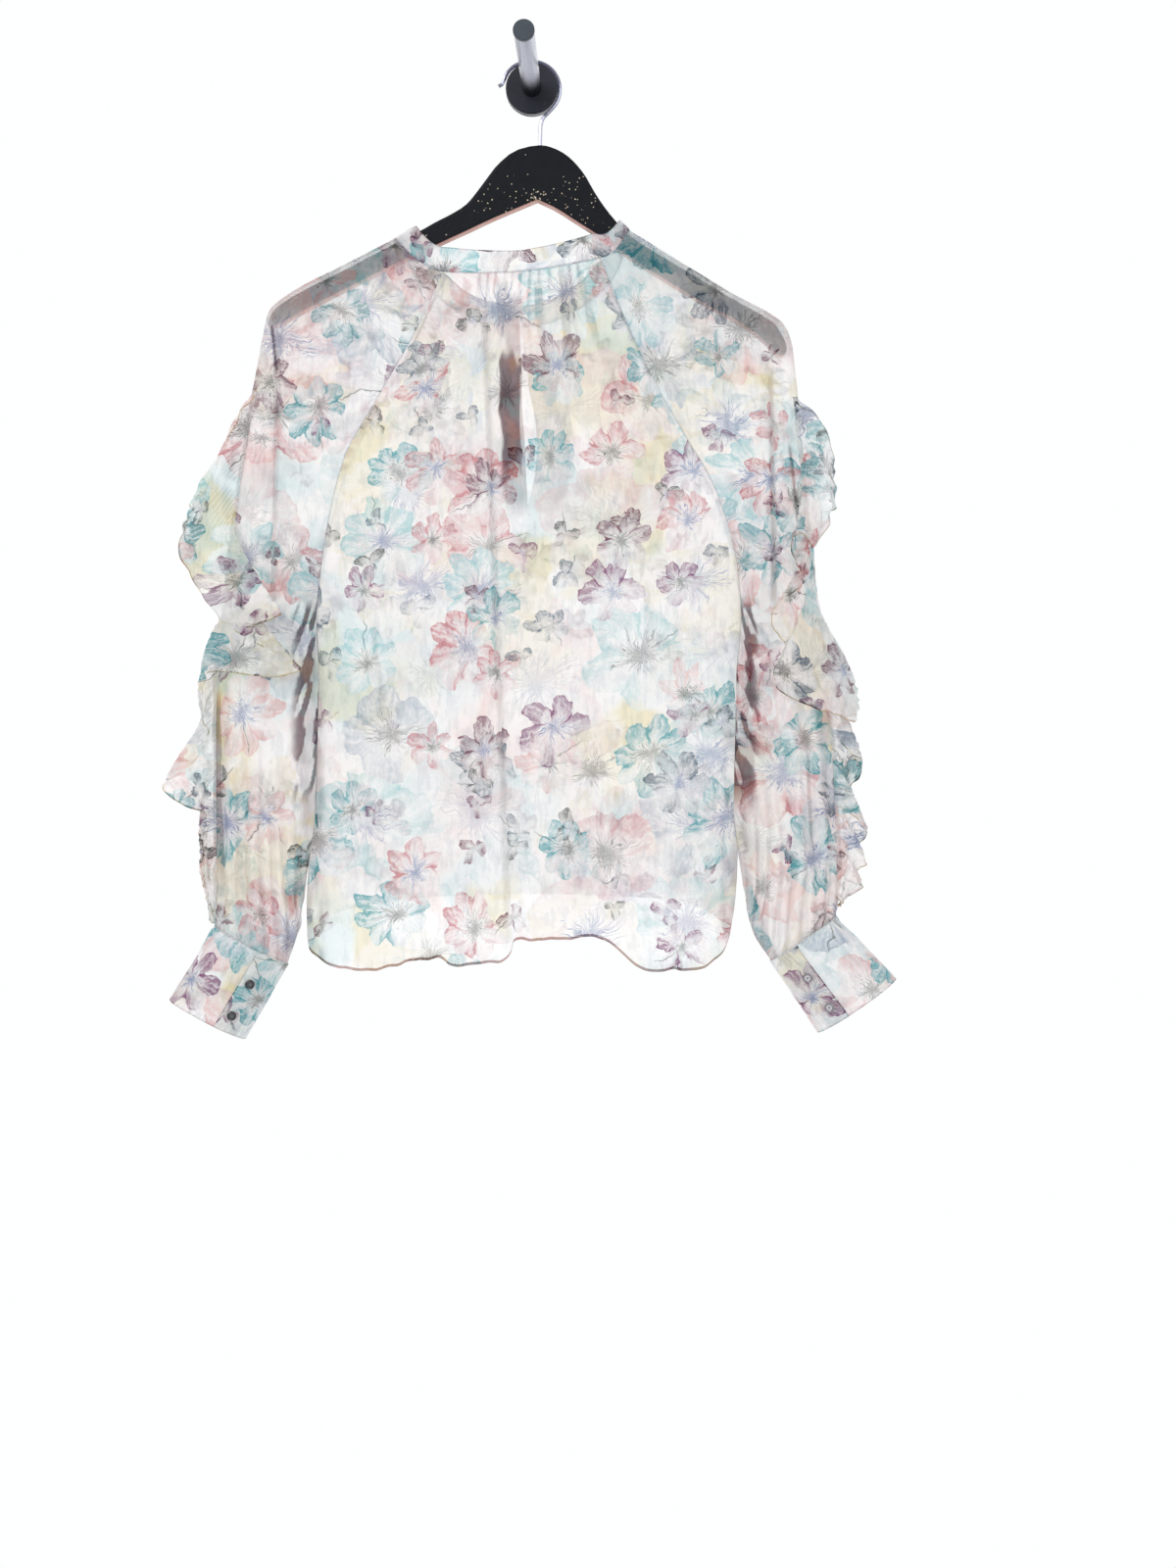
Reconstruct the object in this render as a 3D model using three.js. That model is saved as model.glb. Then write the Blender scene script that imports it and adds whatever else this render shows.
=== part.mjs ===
// A sheer long-sleeved blouse seen from the back, on a wooden hanger on a wall peg.
// Millimetres. X to the right, Y toward the wall, Z up.
// The origin is the centre of the peg flange's face against the wall.
import * as THREE from "three";

// Sizes that drive everything
const HANG_Y = -45;          // the plane of the hanger and of the side seams
const WALL = 1.2;            // thickness given to the cloth
const SEAM_GAP = 0.3;        // between two pieces at a seam
const LAYER = (WALL + SEAM_GAP) / 2;   // from the seam plane to a layer's middle
// How far down the armhole each grid row lies, close together at the shoulder's end
const ARMHOLE_STOPS = [0, 0.08, 0.16, 0.24, 0.3, 0.335, 0.37, 0.44, 0.54, 0.65, 0.77, 0.89, 1];
const RAGLAN_ROWS = ARMHOLE_STOPS.length - 1;
const SIDE_ROWS = 8;         // grid rows from the underarm to the hem
const FOREARM_ROWS = 11;     // grid rows from the underarm to the cuff
const ARMHOLE_SHARE = 0.5;   // the armhole's share of the body's height
const BACK_COLUMNS = 36;
const FRONT_HALF_COLUMNS = 13;
const SLEEVE_COLUMNS = 10;   // on each of the sleeve's two layers
const CUFF_HEIGHT = 72;
const CUFF_OVERLAP_LIFT = 1.9;
const BUTTON_DIAMETER = 8;
const BUTTON_THICKNESS = 2.2;
const RUFFLE_STEPS = 2;      // grid columns for each row of a ruffle's table
const RUFFLE_ROWS = 3;
const RUFFLE_ROOT = 1.7;     // from the sleeve's middle to the ruffle's root

const HANGER_THICKNESS = 12;
const HOOK_WIRE = 3.2;
const PEG_DIAMETER = 16.5;
const PEG_LENGTH = 147;
const PEG_LEAN = { x: -2.8, z: 0 };  // how far the peg's tip stands off its root
const CAP_DIAMETER = 17.4;
const CAP_LENGTH = 3.5;
const FLANGE_DIAMETER = 45;
const FLANGE_THICKNESS = 9;

// Lines seen on the garment, each as a short table of places
const LEFT = {
  side: -1,
  raglanBack: [
    { x: -72.8, z: -169.9 }, { x: -94.9, z: -217.3 }, { x: -127.6, z: -274.6 },
    { x: -154.6, z: -322.8 }, { x: -168.5, z: -375.1 }, { x: -175.9, z: -418.5 },
    { x: -179.2, z: -442.2 },
  ],
  raglanFront: [
    { x: -80, z: -184 }, { x: -101, z: -228 }, { x: -130, z: -282 },
    { x: -154, z: -328 }, { x: -168, z: -377 }, { x: -176, z: -419 },
    { x: -179.2, z: -442.2 },
  ],
  shoulderLine: [
    { x: -113.3, z: -139.5 }, { x: -157.8, z: -162.6 }, { x: -189.1, z: -178.2 },
    { x: -209.7, z: -190.6 }, { x: -219.6, z: -199.6 }, { x: -224.5, z: -218.6 },
    { x: -230.3, z: -249.9 }, { x: -236.9, z: -284.5 }, { x: -243.5, z: -325.7 },
    { x: -251.7, z: -383.4 }, { x: -259.2, z: -443 },
  ],
  forearmOuter: [
    { x: -259.2, z: -443 }, { x: -265.7, z: -515.2 }, { x: -266.5, z: -597.6 },
    { x: -265.7, z: -663.5 }, { x: -265.6, z: -716.7 },
  ],
  forearmInner: [
    { x: -179.2, z: -442.2 }, { x: -182.4, z: -474.9 }, { x: -184.1, z: -515.8 },
    { x: -185.3, z: -564.9 }, { x: -186.7, z: -614 }, { x: -188.6, z: -654.8 },
    { x: -191.2, z: -687.6 }, { x: -195, z: -720.3 }, { x: -204.7, z: -748.2 },
  ],
  bodySide: [
    { x: -179.2, z: -442.2 }, { x: -180.9, z: -515.2 }, { x: -183.3, z: -581.1 },
    { x: -185.5, z: -647 }, { x: -188, z: -696.5 }, { x: -187.5, z: -724.2 },
  ],
  cuffAxis: { x: -0.508, z: -0.861 },
  cuffWiden: 1.03,             // the cuff's lower edge against its top
};

const RIGHT = {
  side: 1,
  raglanBack: [
    { x: 58.8, z: -158.1 }, { x: 80.9, z: -213.2 }, { x: 107.1, z: -267.2 },
    { x: 130, z: -307.3 }, { x: 152.9, z: -346.5 }, { x: 170.9, z: -401.3 },
    { x: 176.6, z: -442.2 },
  ],
  raglanFront: [
    { x: 66, z: -174 }, { x: 86, z: -222 }, { x: 110, z: -273 },
    { x: 132, z: -314 }, { x: 153, z: -352 }, { x: 170.5, z: -403 },
    { x: 176.6, z: -442.2 },
  ],
  shoulderLine: [
    { x: 82.8, z: -132.9 }, { x: 125.7, z: -159.3 }, { x: 166.8, z: -184 },
    { x: 199.8, z: -201.7 }, { x: 213, z: -212 }, { x: 219.6, z: -226.8 },
    { x: 222.9, z: -251.5 }, { x: 225.3, z: -276.3 }, { x: 229.5, z: -325.7 },
    { x: 236.1, z: -383.4 }, { x: 241.8, z: -441.1 },
  ],
  forearmOuter: [
    { x: 241.8, z: -441.1 }, { x: 250.1, z: -507 }, { x: 256.7, z: -581.1 },
    { x: 260, z: -655.3 }, { x: 256.5, z: -708.5 },
  ],
  forearmInner: [
    { x: 176.6, z: -442.2 }, { x: 179.2, z: -474.9 }, { x: 179.4, z: -515.8 },
    { x: 178.3, z: -564.9 }, { x: 177.4, z: -614 }, { x: 178.4, z: -654.8 },
    { x: 181.5, z: -695.7 }, { x: 188.9, z: -724.4 }, { x: 202, z: -745.5 },
  ],
  bodySide: [
    { x: 176.6, z: -442.2 }, { x: 177.4, z: -515.2 }, { x: 175.7, z: -581.1 },
    { x: 174.6, z: -638.8 }, { x: 171.6, z: -696.5 }, { x: 167.2, z: -724.2 },
  ],
  cuffAxis: { x: 0.62, z: -0.785 },
  cuffWiden: 1.17,
};

// How far a seam or a layer stands from the hanger's plane, down the raglan seam
const SEAM_DEPTH = [
  { at: 0, depth: 12 }, { at: 0.15, depth: 10.6 }, { at: 0.4, depth: 9.6 },
  { at: 0.75, depth: 9 }, { at: 0.9, depth: 6.5 }, { at: 1, depth: LAYER },
];

// The body's two layers, down from the neck (0) to the hem (1)
const BODY_SECTIONS = [
  { at: 0, depth: 12, squareness: 3 }, { at: 0.2, depth: 14, squareness: 3 },
  { at: 0.5, depth: 15.5, squareness: 3 }, { at: 1, depth: 15, squareness: 2.6 },
];

// A sleeve's sections, down from the neck (0), past the underarm (1) to the cuff (2)
const SLEEVE_SECTIONS = [
  { at: 0, depth: 12, squareness: 4 }, { at: 0.2, depth: 10.4, squareness: 4.5 },
  { at: 0.55, depth: 10.5, squareness: 4 }, { at: 1, depth: 14, squareness: 3.4 },
  { at: 1.4, depth: 17, squareness: 2.8 }, { at: 1.85, depth: 19, squareness: 2.3 },
  { at: 2, depth: 22, squareness: 2 },
];

const BACK_NECK = [
  { x: -72.8, z: -169.9 }, { x: -54.7, z: -170.6 }, { x: -34.3, z: -170.7 },
  { x: -17.2, z: -170.1 }, { x: 3.3, z: -168 }, { x: 23.7, z: -165.2 },
  { x: 43.8, z: -161.4 }, { x: 58.8, z: -158.1 },
];
const FRONT_NECK_LEFT = [
  { x: -80, z: -184 }, { x: -62, z: -198 }, { x: -38, z: -207 }, { x: -9.5, z: -211 },
];
const FRONT_NECK_RIGHT = [
  { x: -6.5, z: -211 }, { x: 18, z: -206 }, { x: 44, z: -193 }, { x: 66, z: -174 },
];
const BACK_HEM = [
  { x: -187.5, z: -724.2 }, { x: -184.5, z: -737 }, { x: -166, z: -749.5 },
  { x: -138.1, z: -754.4 }, { x: -107, z: -747.9 }, { x: -75.2, z: -743.8 },
  { x: -66, z: -748.6 }, { x: -45, z: -747.9 }, { x: -18, z: -743 },
  { x: -13, z: -729.6 }, { x: 15.5, z: -728.3 }, { x: 48.2, z: -725.9 },
  { x: 60.5, z: -726.7 }, { x: 72.7, z: -734.8 }, { x: 95.6, z: -752.8 },
  { x: 121.7, z: -752.8 }, { x: 147, z: -750.4 }, { x: 160.9, z: -738.1 },
  { x: 167.2, z: -724.2 },
];
const FRONT_HEM = [
  { x: -187.5, z: -724.2 }, { x: -172, z: -710 }, { x: -118, z: -697 },
  { x: -35, z: -691 }, { x: 48, z: -692 }, { x: 131, z: -698 },
  { x: 156, z: -710 }, { x: 167.2, z: -724.2 },
];

// The slit at centre front, one row for each grid row that it opens
const SLIT = [
  { left: -9.5, right: -6.5 }, { left: -9, right: -6.2 }, { left: -7.4, right: -3.5 },
  { left: -8, right: -1 }, { left: -7.5, right: 2 }, { left: -6.8, right: 3.5 },
  { left: -6.2, right: 4.3 }, { left: -5, right: 5.3 }, { left: -4.2, right: 3.2 },
];
const SLIT_END_X = -2.8;

// Folds of each layer: a line from top to bottom. A knife fold rises slowly on one
// side (lap) and drops at the line; a soft fold has no side.
const BACK_FOLDS = [
  { topX: -42, topZ: -172, bottomX: -19, bottomZ: -760, lap: 75, height: 7, side: -1 },
  { topX: -60, topZ: -172, bottomX: -66, bottomZ: -290, lap: 9, height: 3, side: 0 },
  { topX: -25, topZ: -172, bottomX: -22, bottomZ: -345, lap: 9, height: 3.4, side: 0 },
  { topX: -11, topZ: -172, bottomX: -3, bottomZ: -320, lap: 8, height: 3, side: 0 },
  { topX: 2, topZ: -170, bottomX: 12, bottomZ: -330, lap: 8, height: 3.2, side: 0 },
  { topX: 15, topZ: -168, bottomX: 30, bottomZ: -350, lap: 8, height: 3, side: 0 },
  { topX: 29, topZ: -165, bottomX: 50, bottomZ: -300, lap: 9, height: 3.2, side: 0 },
  { topX: 44, topZ: -163, bottomX: 66, bottomZ: -275, lap: 9, height: 2.6, side: 0 },
  { topX: -108, topZ: -300, bottomX: -124, bottomZ: -600, lap: 26, height: 3, side: 0 },
  { topX: 56, topZ: -400, bottomX: 50, bottomZ: -770, lap: 22, height: -4, side: 0 },
  { topX: 108, topZ: -360, bottomX: 118, bottomZ: -770, lap: 26, height: 3.5, side: 0 },
  { topX: -88, topZ: -480, bottomX: -76, bottomZ: -790, lap: 20, height: -4, side: 0 },
  { topX: -140, topZ: -560, bottomX: -140, bottomZ: -790, lap: 26, height: 3, side: 0 },
  { topX: 12, topZ: -560, bottomX: 14, bottomZ: -770, lap: 18, height: 2.5, side: 0 },
];
const FRONT_FOLDS = [
  { topX: -60, topZ: -190, bottomX: -72, bottomZ: -330, lap: 10, height: 3, side: 0 },
  { topX: -38, topZ: -200, bottomX: -44, bottomZ: -360, lap: 10, height: 3, side: 0 },
  { topX: 26, topZ: -198, bottomX: 36, bottomZ: -350, lap: 10, height: 3, side: 0 },
  { topX: 48, topZ: -186, bottomX: 66, bottomZ: -320, lap: 10, height: 3, side: 0 },
  { topX: -100, topZ: -330, bottomX: -112, bottomZ: -740, lap: 26, height: 4, side: 0 },
  { topX: -30, topZ: -420, bottomX: -36, bottomZ: -740, lap: 22, height: -4, side: 0 },
  { topX: 44, topZ: -380, bottomX: 52, bottomZ: -740, lap: 24, height: 4, side: 0 },
  { topX: 112, topZ: -360, bottomX: 116, bottomZ: -750, lap: 24, height: -3.5, side: 0 },
];
const LEFT_SLEEVE_FOLDS = [
  { topX: -207, topZ: -212, bottomX: -212, bottomZ: -455, lap: 26, height: 6, side: 1 },
  { topX: -150, topZ: -185, bottomX: -172, bottomZ: -330, lap: 16, height: 3, side: 0 },
  { topX: -190, topZ: -448, bottomX: -198, bottomZ: -560, lap: 9, height: 4, side: 0 },
  { topX: -196, topZ: -560, bottomX: -212, bottomZ: -735, lap: 11, height: 4.5, side: 0 },
  { topX: -228, topZ: -520, bottomX: -232, bottomZ: -725, lap: 11, height: 4, side: 0 },
  { topX: -250, topZ: -560, bottomX: -248, bottomZ: -715, lap: 9, height: 3.5, side: 0 },
];
const RIGHT_SLEEVE_FOLDS = [
  { topX: 198, topZ: -250, bottomX: 201, bottomZ: -460, lap: 24, height: 6, side: -1 },
  { topX: 130, topZ: -185, bottomX: 160, bottomZ: -320, lap: 16, height: 3, side: 0 },
  { topX: 186, topZ: -455, bottomX: 190, bottomZ: -570, lap: 9, height: 4, side: 0 },
  { topX: 190, topZ: -560, bottomX: 206, bottomZ: -725, lap: 11, height: 4.5, side: 0 },
  { topX: 216, topZ: -500, bottomX: 226, bottomZ: -715, lap: 11, height: 4, side: 0 },
  { topX: 240, topZ: -560, bottomX: 242, bottomZ: -705, lap: 9, height: 3.5, side: 0 },
];

// The ruffles: at each height of the root, where the free edge stands from it
const LEFT_RUFFLE = [
  { at: -266, out: 1, near: 3, drop: 5 }, { at: -271, out: 12, near: 8, drop: 17 },
  { at: -278, out: 23, near: -6, drop: 30 }, { at: -286, out: 34, near: -18, drop: 46 },
  { at: -294, out: 43, near: -20, drop: 56 }, { at: -303, out: 49, near: -6, drop: 58 },
  { at: -311, out: 44, near: 16, drop: 61 }, { at: -320, out: 48, near: 22, drop: 66 },
  { at: -331, out: 50, near: 12, drop: 75 }, { at: -342, out: 42, near: -4, drop: 82 },
  { at: -355, out: 29, near: -10, drop: 88 }, { at: -367, out: 11, near: 4, drop: 94 },
  { at: -378, out: -16, near: 28, drop: 90 }, { at: -388, out: -46, near: 38, drop: 70 },
  { at: -397, out: -28, near: 28, drop: 64 }, { at: -408, out: -8, near: 20, drop: 62 },
  { at: -418, out: -39, near: 30, drop: 69 }, { at: -428, out: -66, near: 34, drop: 75 },
  { at: -438, out: -45, near: 28, drop: 72 }, { at: -448, out: -15, near: 16, drop: 58 },
  { at: -459, out: 12, near: 3, drop: 46 }, { at: -472, out: 18, near: -14, drop: 45 },
  { at: -487, out: 15, near: 8, drop: 43 }, { at: -502, out: 8, near: 20, drop: 44 },
  { at: -517, out: 12, near: -16, drop: 48 }, { at: -533, out: 27, near: -8, drop: 51 },
  { at: -550, out: 42, near: 10, drop: 50 }, { at: -563, out: 28, near: 20, drop: 49 },
  { at: -576, out: 10, near: 4, drop: 45 }, { at: -591, out: 13, near: -18, drop: 44 },
  { at: -607, out: 9, near: 14, drop: 42 }, { at: -624, out: 13, near: -16, drop: 41 },
  { at: -640, out: 9, near: 14, drop: 36 }, { at: -657, out: 11, near: -14, drop: 29 },
  { at: -676, out: 5, near: 8, drop: 19 }, { at: -701, out: 2, near: 3, drop: 12 },
];
const RIGHT_RUFFLE = [
  { at: -271, out: 1, near: 3, drop: 5 }, { at: -275, out: 21, near: 10, drop: 18 },
  { at: -281, out: 32, near: -8, drop: 36 }, { at: -288, out: 35, near: -18, drop: 54 },
  { at: -296, out: 34, near: -8, drop: 66 }, { at: -304, out: 27, near: 12, drop: 66 },
  { at: -313, out: 22, near: 22, drop: 72 }, { at: -322, out: 11, near: 18, drop: 77 },
  { at: -332, out: 7, near: 28, drop: 70 }, { at: -342, out: -4, near: 36, drop: 50 },
  { at: -355, out: -15, near: 36, drop: 42 }, { at: -367, out: -11, near: 26, drop: 50 },
  { at: -379, out: -8, near: 24, drop: 53 }, { at: -391, out: -22, near: 30, drop: 52 },
  { at: -401, out: -35, near: 34, drop: 54 }, { at: -411, out: -36, near: 30, drop: 58 },
  { at: -421, out: -26, near: 24, drop: 62 }, { at: -431, out: -36, near: 30, drop: 74 },
  { at: -439, out: -36, near: 36, drop: 80 }, { at: -447, out: -13, near: 36, drop: 86 },
  { at: -454, out: 11, near: 26, drop: 86 }, { at: -462, out: 29, near: 6, drop: 84 },
  { at: -473, out: 30, near: -14, drop: 66 }, { at: -487, out: 20, near: -20, drop: 56 },
  { at: -502, out: 13, near: -16, drop: 53 }, { at: -519, out: 18, near: 8, drop: 51 },
  { at: -535, out: 25, near: 18, drop: 49 }, { at: -551, out: 18, near: -12, drop: 48 },
  { at: -568, out: 10, near: -18, drop: 46 }, { at: -584, out: 19, near: 10, drop: 41 },
  { at: -600, out: 25, near: 18, drop: 38 }, { at: -616, out: 19, near: -14, drop: 33 },
  { at: -631, out: 23, near: 14, drop: 31 }, { at: -645, out: 16, near: -16, drop: 26 },
  { at: -660, out: 20, near: 10, drop: 20 }, { at: -675, out: 10, near: -10, drop: 16 },
  { at: -690, out: 2, near: 3, drop: 8 },
];

// How the neck band stands up from its seam, at places round the neck
const BAND_RISE = {
  centreFront: { x: 0, y: 0, z: 18 },
  leftFront: { x: 9, y: 0, z: 17 },
  leftShoulder: { x: 17.3, y: 0, z: 9.9 },
  leftBack: { x: 4.5, y: 1, z: 20.5 },
  centreBack: { x: 0, y: 1.5, z: 17.6 },
  rightBack: { x: -5.5, y: 1, z: 20.5 },
  rightShoulder: { x: -8.2, y: 0, z: 8.2 },
  rightFront: { x: -9, y: 0, z: 17 },
};

// The wooden hanger's outline, right round, clockwise from the corner under its neck
const HANGER_OUTLINE = [
  { x: 5.7, z: -108.3 }, { x: -32.5, z: -124.5 }, { x: -52.2, z: -133.8 },
  { x: -70.6, z: -142.3 }, { x: -114, z: -162.5 }, { x: -160, z: -185.5 },
  { x: -194, z: -203.5 }, { x: -207, z: -210.5 }, { x: -214, z: -213.8 },
  { x: -219, z: -212.8 }, { x: -219, z: -207 }, { x: -215.2, z: -200.2 },
  { x: -209, z: -194.8 }, { x: -189.1, z: -182.8 }, { x: -157.8, z: -167.2 },
  { x: -113.3, z: -144 }, { x: -92.6, z: -133.6 }, { x: -79.9, z: -126.3 },
  { x: -66, z: -119.2 }, { x: -54.5, z: -111.8 }, { x: -46.4, z: -102.6 },
  { x: -36, z: -88.7 }, { x: -27.9, z: -78.3 }, { x: -12.9, z: -66.3 },
  { x: 7.5, z: -61.7 }, { x: 17.2, z: -63.3 }, { x: 28.8, z: -69 },
  { x: 38, z: -77.2 }, { x: 46.1, z: -87.6 }, { x: 51.9, z: -97.9 },
  { x: 58.8, z: -108.9 }, { x: 69, z: -122.4 }, { x: 82.8, z: -137 },
  { x: 103, z: -150.5 }, { x: 125.7, z: -164.2 }, { x: 166.8, z: -189.2 },
  { x: 196, z: -205.4 }, { x: 205.8, z: -212.8 }, { x: 211, z: -221 },
  { x: 215, z: -231 }, { x: 213.4, z: -237.4 }, { x: 207.5, z: -238.6 },
  { x: 198.5, z: -229 }, { x: 177, z: -212 }, { x: 150, z: -197.5 },
  { x: 100, z: -167.5 }, { x: 51.9, z: -134.9 }, { x: 39.1, z: -126.9 },
  { x: 20.7, z: -115.2 },
];
const HANGER_BEVEL = 2.2;
const HANGER_STEPS = 108;      // steps of the smooth line round it

// The wire hook, from its curled end over the peg and down into the hanger
const HOOK_LINE = [
  { x: -27.2, z: -11.2 }, { x: -23.4, z: -9 }, { x: -22.2, z: -5 }, { x: -18.9, z: 1.2 },
  { x: -12.4, z: 6.9 }, { x: -0.8, z: 10.2 }, { x: 11.4, z: 7.6 }, { x: 19.6, z: 1 },
  { x: 24.2, z: -9 }, { x: 24.2, z: -18 }, { x: 21.8, z: -24.9 }, { x: 14.9, z: -33.2 },
  { x: 10.3, z: -37.8 }, { x: 8.4, z: -43.6 }, { x: 8, z: -52 }, { x: 7.8, z: -60.9 },
];

// Small tools for numbers and lines
const mix = (a, b, t) => a + (b - a) * t;
const clamp01 = (t) => Math.min(1, Math.max(0, t));
const ease = (t) => clamp01(t) ** 2 * (3 - 2 * clamp01(t));

// A number from a table of rows, at a place between them
function readTable(rows, at, column) {
  const last = rows.length - 1;
  if (at <= rows[0].at) return rows[0][column];
  if (at >= rows[last].at) return rows[last][column];
  let i = 0;
  while (rows[i + 1].at < at) i += 1;
  const t = (at - rows[i].at) / (rows[i + 1].at - rows[i].at);
  return mix(rows[i][column], rows[i + 1][column], t);
}

// A smooth line through places, with points an even way apart
function smoothLine(places) {
  const stops = places.map((place) => new THREE.Vector3(place.x, place.y ?? 0, place.z));
  const curve = new THREE.CatmullRomCurve3(stops, false, "centripetal");
  const points = curve.getPoints(places.length * 12);
  const lengths = [0];
  for (let i = 1; i < points.length; i += 1) {
    lengths.push(lengths[i - 1] + points[i].distanceTo(points[i - 1]));
  }
  return { points, lengths };
}

function alongLine(line, fraction) {
  const { points, lengths } = line;
  const want = clamp01(fraction) * lengths[lengths.length - 1];
  let i = 0;
  while (i < lengths.length - 2 && lengths[i + 1] < want) i += 1;
  const t = (want - lengths[i]) / (lengths[i + 1] - lengths[i]);
  return points[i].clone().lerp(points[i + 1], t);
}

// How high the folds of a layer stand at a place
function foldHeight(folds, x, z) {
  let height = 0;
  for (const fold of folds) {
    const down = (fold.topZ - z) / (fold.topZ - fold.bottomZ);
    if (down <= 0 || down >= 1) continue;
    const fade = ease(down / 0.1) * ease((1 - down) / 0.25);
    const off = x - mix(fold.topX, fold.bottomX, down);
    height += fold.height * fade * foldProfile(off, fold.lap, fold.side);
  }
  return height;
}

function foldProfile(off, lap, side) {
  if (side === 0) {
    const t = Math.abs(off) / lap;
    return t < 1 ? 0.5 + 0.5 * Math.cos(Math.PI * t) : 0;
  }
  const toward = off * side;
  if (toward >= 0) return toward < lap ? (1 - toward / lap) ** 1.5 : 0;
  return ease(1 + toward / 7);
}

// A curved layer's depth from edge to edge: one where it is full, nothing at a turned edge
function bothRound(s, squareness) {
  return Math.max(0, 1 - Math.abs(2 * s - 1) ** squareness) ** (1 / squareness);
}

function outerRound(a, squareness) {
  return Math.max(0, 1 - a ** squareness) ** (1 / squareness);
}

// A closed solid of even wall from a sheet of points joined by four-cornered faces
function clothSolid(points, faces, fixedNormals, edgePulls) {
  const normals = points.map(() => new THREE.Vector3());
  for (const [a, b, c, d] of faces) {
    const first = points[c].clone().sub(points[a]);
    const second = points[d].clone().sub(points[b]);
    const normal = first.cross(second);
    for (const corner of [a, b, c, d]) normals[corner].add(normal);
  }
  normals.forEach((normal, i) => {
    if (fixedNormals.has(i)) normal.copy(fixedNormals.get(i));
    normal.normalize();
  });
  const middles = points.map((point) => point.clone());
  for (const [corner, toward, amount] of edgePulls) {
    const way = points[toward].clone().sub(points[corner]).normalize();
    middles[corner].addScaledVector(way, amount);
  }
  const positions = [];
  for (const sign of [1, -1]) {
    middles.forEach((middle, i) => {
      const place = middle.clone().addScaledVector(normals[i], sign * WALL / 2);
      positions.push(place.x, place.y, place.z);
    });
  }
  const count = points.length;
  const index = [];
  const edges = new Map();
  for (const [a, b, c, d] of faces) {
    index.push(a, b, c, a, c, d);
    index.push(count + a, count + c, count + b, count + a, count + d, count + c);
    for (const [from, to] of [[a, b], [b, c], [c, d], [d, a]]) {
      if (edges.has(to + "_" + from)) edges.delete(to + "_" + from);
      else edges.set(from + "_" + to, [from, to]);
    }
  }
  for (const [from, to] of edges.values()) {
    index.push(from, count + from, count + to, from, count + to, to);
  }
  const geometry = new THREE.BufferGeometry();
  geometry.setAttribute("position", new THREE.Float32BufferAttribute(positions, 3));
  geometry.setIndex(index);
  geometry.computeVertexNormals();
  return { geometry, normals };
}

// A plain grid of points as a solid. Faces look to the side given by the order of columns.
function gridSolid(grid, fixed, pulls, flip) {
  const columns = grid[0].length;
  const id = (row, column) => row * columns + column;
  const faces = [];
  for (let i = 0; i < grid.length - 1; i += 1) {
    for (let j = 0; j < columns - 1; j += 1) {
      const face = [id(i, j), id(i + 1, j), id(i + 1, j + 1), id(i, j + 1)];
      faces.push(flip ? face.reverse() : face);
    }
  }
  const fixedNormals = new Map(fixed.map(([row, column, way]) => [id(row, column), way]));
  const edgePulls = pulls.map(([row, column, toRow, toColumn]) => (
    [id(row, column), id(toRow, toColumn), SEAM_GAP / 2]));
  const solid = clothSolid(grid.flat(), faces, fixedNormals, edgePulls);
  return { geometry: solid.geometry, normals: solid.normals, columns };
}

// The body: a layer's point at a fraction across and a fraction down
function bodyRow(row) {
  const raglan = row <= RAGLAN_ROWS ? ARMHOLE_STOPS[row] : 1;
  const side = Math.max(0, row - RAGLAN_ROWS) / SIDE_ROWS;
  return { down: raglan * ARMHOLE_SHARE + side * (1 - ARMHOLE_SHARE), raglan, side };
}

function seamPoint(raglanLine, sideLine, row) {
  const { raglan, side } = bodyRow(row);
  return row <= RAGLAN_ROWS ? alongLine(raglanLine, raglan) : alongLine(sideLine, side);
}

function lineHeightAt(places, x) {
  const rows = places.map((place) => ({ at: place.x, z: place.z }));
  return readTable(rows, x, "z");
}

function bodyPoint(layer, row, across) {
  const { down, raglan } = bodyRow(row);
  const left = seamPoint(layer.leftRaglan, layer.leftSide, row);
  const right = seamPoint(layer.rightRaglan, layer.rightSide, row);
  const x = mix(left.x, right.x, across);
  let z = mix(left.z, right.z, across);
  const topX = mix(layer.neck[0].x, layer.neck[layer.neck.length - 1].x, across);
  const topStraight = mix(layer.neck[0].z, layer.neck[layer.neck.length - 1].z, across);
  z += (1 - down) ** 1.5 * (lineHeightAt(layer.neck, topX) - topStraight);
  const hemX = mix(layer.hem[0].x, layer.hem[layer.hem.length - 1].x, across);
  const hemStraight = mix(layer.hem[0].z, layer.hem[layer.hem.length - 1].z, across);
  z += down ** 6 * (lineHeightAt(layer.hem, hemX) - hemStraight);
  const edge = readTable(SEAM_DEPTH, raglan, "depth");
  const full = readTable(BODY_SECTIONS, down, "depth");
  const round = bothRound(across, readTable(BODY_SECTIONS, down, "squareness"));
  const loose = Math.min(1, round * 1.4) * ease(down / 0.035);
  const folds = foldHeight(layer.folds, x, z) * loose;
  const depth = mix(edge, Math.max(full, edge), round) + folds;
  return new THREE.Vector3(x, HANG_Y + layer.way * depth, z);
}

const BACK_LAYER = {
  way: -1, folds: BACK_FOLDS, neck: BACK_NECK, hem: BACK_HEM,
  leftRaglan: smoothLine(LEFT.raglanBack), rightRaglan: smoothLine(RIGHT.raglanBack),
  leftSide: smoothLine(LEFT.bodySide), rightSide: smoothLine(RIGHT.bodySide),
};
const FRONT_LAYER = {
  way: 1, folds: FRONT_FOLDS, hem: FRONT_HEM,
  neck: FRONT_NECK_LEFT.concat(FRONT_NECK_RIGHT),
  leftRaglan: smoothLine(LEFT.raglanFront), rightRaglan: smoothLine(RIGHT.raglanFront),
  leftSide: smoothLine(LEFT.bodySide), rightSide: smoothLine(RIGHT.bodySide),
};
const TO_CAMERA = new THREE.Vector3(0, -1, 0);
const TO_WALL = new THREE.Vector3(0, 1, 0);

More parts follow.
